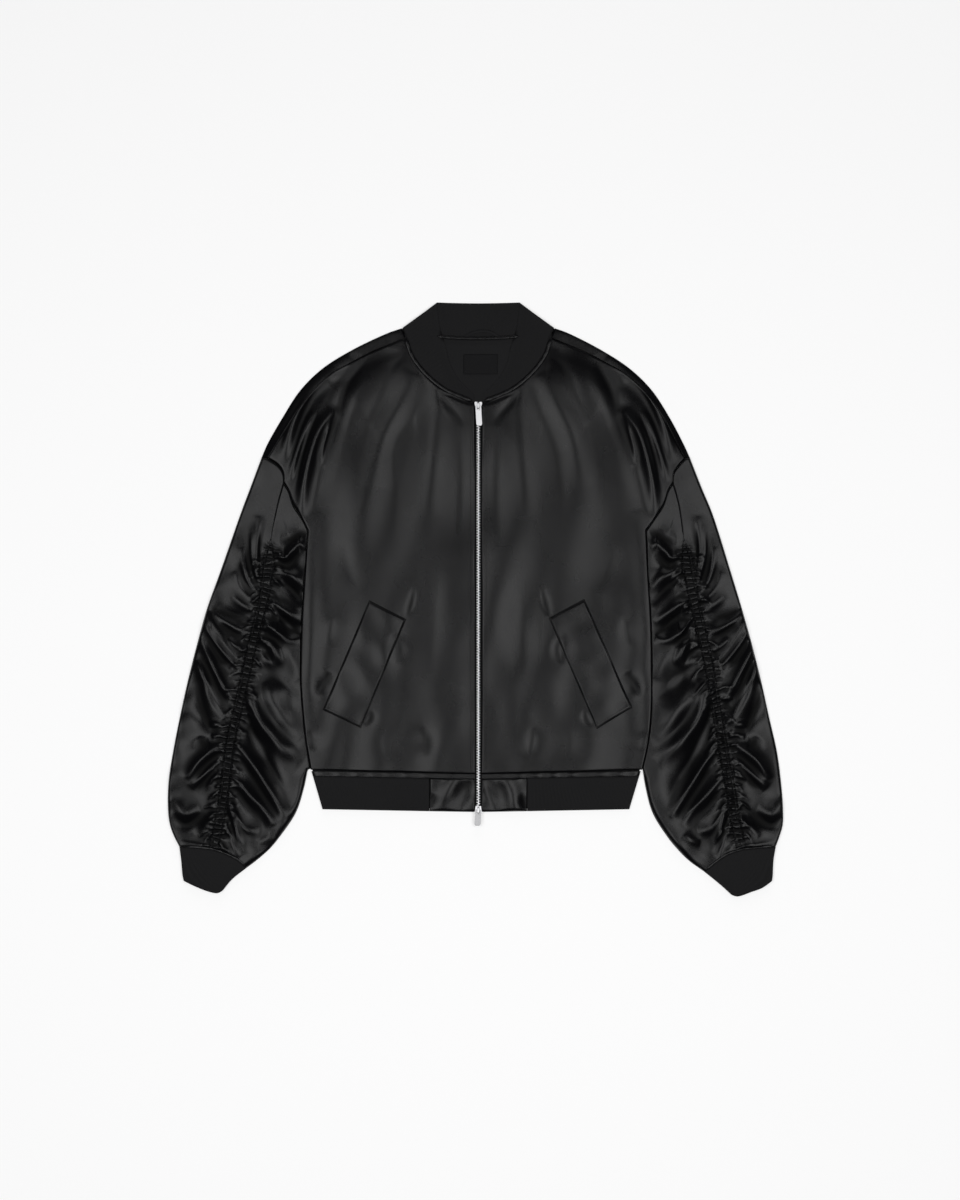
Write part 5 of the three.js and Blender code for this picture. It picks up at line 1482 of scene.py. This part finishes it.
LOOP_COURSE = [(-19.3, 352.6, 4.4), (-8, 359, 4.7), (6.3, 361.3, 4.8), (18, 359.4, 4.7), (27.9, 353.2, 4.4)]
LOOP_HALF = 1.8
line = smooth_line(LOOP_COURSE, 14)
ways = leftward(line[:, :2])
over = np.linspace(-1, 1, 9)
sheet = line[:, None, :2] + ways[:, None, :] * over[None, :, None] * LOOP_HALF
height = line[:, None, 2] + 0.45 - 0.25 * np.abs(over[None, :]) ** 3
hanger_loop = slab("hanger_loop", sheet, height, line[:, None, 2] - 0.35, lining)
dress(hanger_loop, "hanger_loop")

# %% Satin rolls along seams
ROLL_AROUND = 14
ROLL_SHAPE = 0.72


def satin_roll(name, line, radius, height, flatness):
    """A flattened roll of satin along a line, as a tube with a thick wall."""
    count = len(line)
    angle = np.linspace(0, 2 * math.pi, ROLL_AROUND + 1)[:-1]
    ends = np.clip(np.minimum(np.arange(count), np.arange(count)[::-1]) / 3, 0.3, 1)
    radii = (radius * ends * (1 + 0.06 * np.sin(np.arange(count) * 0.7)))[:, None]
    wide, tall = (np.sign(f(angle)) * np.abs(f(angle)) ** ROLL_SHAPE for f in (np.cos, np.sin))
    sheet = line[:, None, :] + leftward(line)[:, None, :] * (wide * radii)[..., None]
    heights = np.broadcast_to(np.reshape(height, (-1, 1)), (count, ROLL_AROUND))
    grid = with_heights(sheet, heights + tall * radii * flatness)
    core = with_heights(np.repeat(line[:, None, :], ROLL_AROUND, axis=1), heights)
    return tube_wall(name, grid, core + (grid - core) * 0.2, satin, True)


pipings = []
for side in SIDES:
    line = at_shares(LINES[side]["neck"], np.linspace(0.035, 0.99, 90))
    piping = satin_roll(f"neck_piping_{side}", line, 2.6, 7.8, 0.5)
    dress(piping, f"neck_piping_{side}")
    pipings.append(piping)

# These rolls have no solid of their own. One covers the back neck seam, and one each cuff seam.
line = back_neck(np.linspace(-56, 56, 70)) + np.array([0, 0.9])
rolls = [satin_roll("back_neck_roll", line, 2.1, 5.5, 0.6)]
for side in SIDES:
    seam_line = offset(LINES[side]["cuff_seam"], -SIDES[side] * 1.4)
    line = at_shares(seam_line, np.linspace(0.03, 0.97, 80))
    rolls.append(satin_roll(f"cuff_seam_roll_{side}", line, 1.7, 6.9, 0.6))
for roll in rolls:
    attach(roll, "jacket")
print("rolls:", len(pipings) + len(rolls))

# %% [markdown]
# ## Pockets
# The pockets are welts: doubled strips of satin laid on the front, which follow its surface.

# %% Pockets
POCKETS = {
    "left": [(-97.3, -27.9), (-147.2, -2.2), (-210.1, -150.1), (-158.8, -174.7)],
    "right": [(95.2, -26.2), (143.2, -0.5), (207.8, -147), (160.1, -176)],
}
POCKET_LIFT = 1.9


def make_pocket(side):
    inner_top, outer_top, outer_low, inner_low = POCKETS[side]
    bottom, top = straight(inner_low, outer_low), straight(inner_top, outer_top)
    inner, outer = straight(inner_low, inner_top), straight(outer_low, outer_top)
    sheet = patch(bottom, top, inner, outer, crowded(36, 0.35), crowded(90, 0.2))
    x, y = sheet[..., 0], sheet[..., 1]
    front = body_height(side, x, y)
    waves = unevenness(x, y, 71 if side == "left" else 73, 46, 0.3)
    height = rounded(front + POCKET_LIFT + waves, sheet, [(2.6, 0)] * 4)
    height = np.maximum(height, front + 0.9)
    return shell(f"pocket_{side}", with_heights(sheet, height), SATIN_THICK, satin)


dress_both(make_pocket, "pocket")
print("pockets:", len(POCKETS))

# %% [markdown]
# ## Zip
# Each tooth is a small cast bar with a lobe that grips the tooth opposite. The teeth repeat at
# an even pitch, half a pitch apart on the two sides, so Geometry Nodes set one tooth along a
# line, and the result is turned into a mesh.

# %% Geometry Nodes that repeat a piece along a line
def repeat_tree(name):
    """A tree that sets a template object on the vertices of a mesh and turns it by a vector."""
    tree = bpy.data.node_groups.new(name, "GeometryNodeTree")
    kinds = {"Geometry": "Geometry", "Template": "Object", "Finish": "Material", "Size": "Float"}
    for title, kind in kinds.items():
        tree.interface.new_socket(name=title, in_out="INPUT", socket_type=f"NodeSocket{kind}")
    tree.interface.new_socket(name="Geometry", in_out="OUTPUT", socket_type="NodeSocketGeometry")
    entry = tree.nodes.new("NodeGroupInput")
    leave = tree.nodes.new("NodeGroupOutput")
    info = tree.nodes.new("GeometryNodeObjectInfo")
    course = tree.nodes.new("GeometryNodeInputNamedAttribute")
    course.data_type = "FLOAT_VECTOR"
    course.inputs["Name"].default_value = "course"
    facing = tree.nodes.new("FunctionNodeAlignRotationToVector")
    facing.axis = "X"
    facing.pivot_axis = "Z"
    setter = tree.nodes.new("GeometryNodeInstanceOnPoints")
    real = tree.nodes.new("GeometryNodeRealizeInstances")
    finish = tree.nodes.new("GeometryNodeSetMaterial")
    for source, output, target, socket in (
        (entry, "Template", info, "Object"),
        (entry, "Geometry", setter, "Points"),
        (info, "Geometry", setter, "Instance"),
        (course, "Attribute", facing, "Vector"),
        (facing, "Rotation", setter, "Rotation"),
        (entry, "Size", setter, "Scale"),
        (setter, "Instances", real, "Geometry"),
        (real, "Geometry", finish, "Geometry"),
        (entry, "Finish", finish, "Material"),
        (finish, "Geometry", leave, "Geometry"),
    ):
        tree.links.new(source.outputs[output], target.inputs[socket])
    return tree


repeater = repeat_tree("set_along_a_line")


def template_object(name, points, faces, smooth):
    mesh = bpy.data.meshes.new(name)
    mesh.from_pydata((np.asarray(points, float) * MM).tolist(), [], faces)
    mesh.polygons.foreach_set("use_smooth", [smooth] * len(mesh.polygons))
    piece = bpy.data.objects.new(name, mesh)
    bpy.context.scene.collection.objects.link(piece)
    return piece


def repeated(name, template, places, courses, material):
    """One mesh of copies of a template at places, each turned so that its X follows its course."""
    mesh = bpy.data.meshes.new(name)
    mesh.from_pydata((np.asarray(places, float) * MM).tolist(), [], [])
    course = mesh.attributes.new("course", "FLOAT_VECTOR", "POINT")
    course.data.foreach_set("vector", np.asarray(courses, np.float32).ravel())
    holder = bpy.data.objects.new(name, mesh)
    bpy.context.scene.collection.objects.link(holder)
    modifier = holder.modifiers.new("repeat", "NODES")
    modifier.node_group = repeater
    sockets = {s.name: s.identifier for s in repeater.interface.items_tree if s.in_out == "INPUT"}
    modifier[sockets["Template"]] = template
    modifier[sockets["Finish"]] = material
    modifier[sockets["Size"]] = 1.0
    graph = bpy.context.evaluated_depsgraph_get()
    made = bpy.data.meshes.new_from_object(holder.evaluated_get(graph), depsgraph=graph)
    holder.modifiers.clear()
    holder.data = made
    made.name = name
    bpy.data.meshes.remove(mesh)
    return holder


# %% Zip teeth
CHAIN = {"bottom": -279.8, "top": 254.5, "floor": 4.5, "height": 2.4}
TOOTH_PITCH = 3.6
TOOTH = {"root": 2.6, "tip": -0.7, "half": 0.62, "lobe": 0.78}


def make_tooth():
    """One tooth as a lofted bar along Y, with a lobe at its tip."""
    root, half = TOOTH["root"], TOOTH["half"]
    stations = [(root, 0.55, 0.7), (root - 0.4, half, 1.0), (1.5, half, 1.0), (0.6, 0.62, 0.94)]
    stations += [(0.1, TOOTH["lobe"], 1.0), (-0.4, 0.76, 0.94), (TOOTH["tip"], 0.5, 0.7)]
    section = [(-1, -0.5), (-1, 0.2), (-0.62, 0.5), (0.62, 0.5), (1, 0.2), (1, -0.5)]
    points = []
    for y, half, tall in stations:
        points += [(half * a, y, CHAIN["height"] * tall * b) for a, b in section]
    faces = []
    for j in range(len(stations) - 1):
        for i in range(6):
            a, b = j * 6 + i, j * 6 + (i + 1) % 6
            faces.append((a, b, b + 6, a + 6))
    faces.append(tuple(range(5, -1, -1)))
    faces.append(tuple(range(len(points) - 6, len(points))))
    return template_object("tooth", points, [f[::-1] for f in faces], False)


tooth = make_tooth()
count = int((CHAIN["top"] - CHAIN["bottom"]) / TOOTH_PITCH)
middle_height = CHAIN["floor"] + CHAIN["height"] / 2
places, courses = [], []
for sign in (-1, 1):
    for k in range(count):
        y = CHAIN["bottom"] + 1 + (k + (0.5 if sign > 0 else 0)) * TOOTH_PITCH
        places.append((0, y, middle_height))
        courses.append((0, -sign, 0))
zip_chain = repeated("zip_chain", tooth, places, courses, silver)
bpy.data.objects.remove(tooth)
dress(zip_chain, "zip_chain")
print("teeth:", len(places), "faces:", len(zip_chain.data.polygons))

# %% Zip tapes, sliders and pull tabs
TAPE = {"width": 13, "floor": 3.3, "top": 3.9, "low": -283, "high": 262}
for side, sign in SIDES.items():
    x = sign * (0.15 + crowded(12)[None, :] * TAPE["width"])
    y = np.linspace(TAPE["low"], TAPE["high"], 80)[:, None]
    sheet = np.stack(np.broadcast_arrays(x, y), axis=-1)
    cord_bead = 0.5 * np.exp(-(((np.abs(x) - 2.0) / 0.9) ** 2))
    piece = slab(f"zip_tape_{side}", sheet, TAPE["top"] + cord_bead, TAPE["floor"], tape_cloth)
    dress(piece, f"zip_tape_{side}")


def polished_copy(node, bevel, metal):
    """A CAD node's form with its edges rounded, as cast and tumbled metal has them."""
    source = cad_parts[node]
    mesh = source.data.copy()
    work = bmesh.new()
    work.from_mesh(mesh)
    bmesh.ops.remove_doubles(work, verts=work.verts, dist=1e-6)
    bmesh.ops.dissolve_limit(work, angle_limit=0.02, verts=work.verts, edges=work.edges)
    work.to_mesh(mesh)
    work.free()
    mesh.materials.clear()
    mesh.materials.append(metal)
    piece = bpy.data.objects.new(f"{node}_polished", mesh)
    bpy.context.scene.collection.objects.link(piece)
    rounder = piece.modifiers.new("rounded", "BEVEL")
    rounder.width = bevel * MM
    rounder.segments = 2
    rounder.limit_method = "ANGLE"
    rounder.angle_limit = math.radians(35)
    mesh.polygons.foreach_set("use_smooth", [False] * len(mesh.polygons))
    return piece


# The lower tab hangs past the hem. Its metal is the slider's metal made darker, as painted shade for the
# dark room that it mirrors there.
ZIP_METAL = [
    ("slider_top", "jacket", 0.3, slider_metal),
    ("slider_bottom", "jacket", 0.3, slider_metal),
    ("pull_top", "top_pull", 0.22, slider_metal),
    ("pull_bottom", "bottom_pull", 0.22, tab_metal_painted_shade),
]
for node, body, bevel, metal in ZIP_METAL:
    dress(polished_copy(node, bevel, metal), node, body=body)
print("zip metal pieces:", 1 + len(ZIP_METAL))

# %% [markdown]
# ## Stitches
# Thread shows in two rows along the gathers, round the pockets, beside the zip and at the
# label's ends. Each stitch is a small rounded bar, set along its row by the same tree as the
# teeth.

# %% Stitches
STITCH = {"length": 2.5, "radius": 0.28, "lift": 0.12}
STITCH_PITCH = {"gathers": 3.4, "pocket": 3.2, "zip": 3.4, "label": 2.8}
ZIP_STITCH = 10.5
POCKET_STITCH_IN = 5.5
LABEL_STITCH_IN = 2


def make_stitch():
    """A stitch as a bar of five sides with pinched ends."""
    stations = [(-0.5, 0.35), (-0.3, 1.0), (0.3, 1.0), (0.5, 0.35)]
    turns = np.linspace(0, 2 * math.pi, 6)[:-1]
    points, faces = [], []
    for along, share in stations:
        for turn in turns:
            radius = STITCH["radius"] * share
            points.append((along * STITCH["length"], radius * math.cos(turn), radius * math.sin(turn)))
    for j in range(len(stations) - 1):
        for i in range(5):
            a, b = j * 5 + i, j * 5 + (i + 1) % 5
            faces.append((a, a + 5, b + 5, b))
    faces.append(tuple(range(5)))
    faces.append(tuple(range(len(points) - 1, len(points) - 6, -1)))
    return template_object("stitch", points, [f[::-1] for f in faces], True)


def stitch_row(side, line, surface, lift, pitch):
    """Places and courses of stitches along a line, at a lift above a surface."""
    count = max(2, int(length_of(line) / pitch))
    shares = (np.arange(count) + 0.5) / count
    spots = at_shares(line, shares)
    ways = at_shares(line, shares + 0.2 / count) - spots
    ways /= np.linalg.norm(ways, axis=1, keepdims=True) + 1e-12
    heights = surface(side, spots[:, 0], spots[:, 1]) + lift + STITCH["lift"]
    places = np.column_stack([spots, heights])
    courses = np.column_stack([ways, np.zeros(count)])
    return places.tolist(), courses.tolist()


def stitch_rows(side):
    """All the rows of stitches on one half, as lines with a surface, a lift and a pitch."""
    sign = SIDES[side]
    lines = LINES[side]
    rows = []
    end = int(len(lines["ruched"]) * (RUCHE_START - 0.02))
    for way in (-1, 1):
        row_line = offset(lines["ruched"], way * lines["ruche_half"] * STITCH_ROW)[4:end]
        rows.append((side, row_line, sleeve_height, 0, STITCH_PITCH["gathers"]))
    corners = [np.array(p, float) for p in POCKETS[side]]
    middle = (corners[0] + corners[1] + corners[2] + corners[3]) / 4
    corners = [middle + (p - middle) * (1 - POCKET_STITCH_IN / np.linalg.norm(p - middle)) for p in corners]
    for a, b in zip(corners, corners[1:] + corners[:1]):
        rows.append((side, straight(a, b), body_height, POCKET_LIFT, STITCH_PITCH["pocket"]))
    zip_x = sign * ZIP_STITCH
    zip_line = straight((zip_x, HEM_SEAM["zip"] + 6), (zip_x, TAPE["high"]))
    rows.append((side, zip_line, body_height, 0, STITCH_PITCH["zip"]))
    return rows


def label_stitch_rows():
    """A row at each end of the label."""
    rows = []
    for side, sign in SIDES.items():
        x = LABEL["x"] + sign * (half_width - LABEL_STITCH_IN)
        low = LABEL["y"] - half_height + LABEL_STITCH_IN
        high = LABEL["y"] + half_height - LABEL_STITCH_IN
        rows.append((side, straight((x, low), (x, high)), label_height, 0, STITCH_PITCH["label"]))
    return rows


def label_height(side, x, y):
    return np.full(x.shape, LABEL["top"])


stitch = make_stitch()
places, courses = [], []
for row in stitch_rows("left") + stitch_rows("right") + label_stitch_rows():
    more_places, more_courses = stitch_row(*row)
    places += more_places
    courses += more_courses
stitches = repeated("stitches", stitch, places, courses, thread)
bpy.data.objects.remove(stitch)
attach(stitches, "jacket")
print("stitches:", len(places), "faces:", len(stitches.data.polygons))

# %% Pieces and triangles of the visual model
pieces = [o for o in bpy.data.objects if o.type == "MESH" and not o.name.startswith("floor")]
triangles = [sum(len(f.vertices) - 2 for f in o.data.polygons) for o in pieces]
print("pieces:", len(pieces), "triangles:", sum(triangles), "largest:", max(triangles))
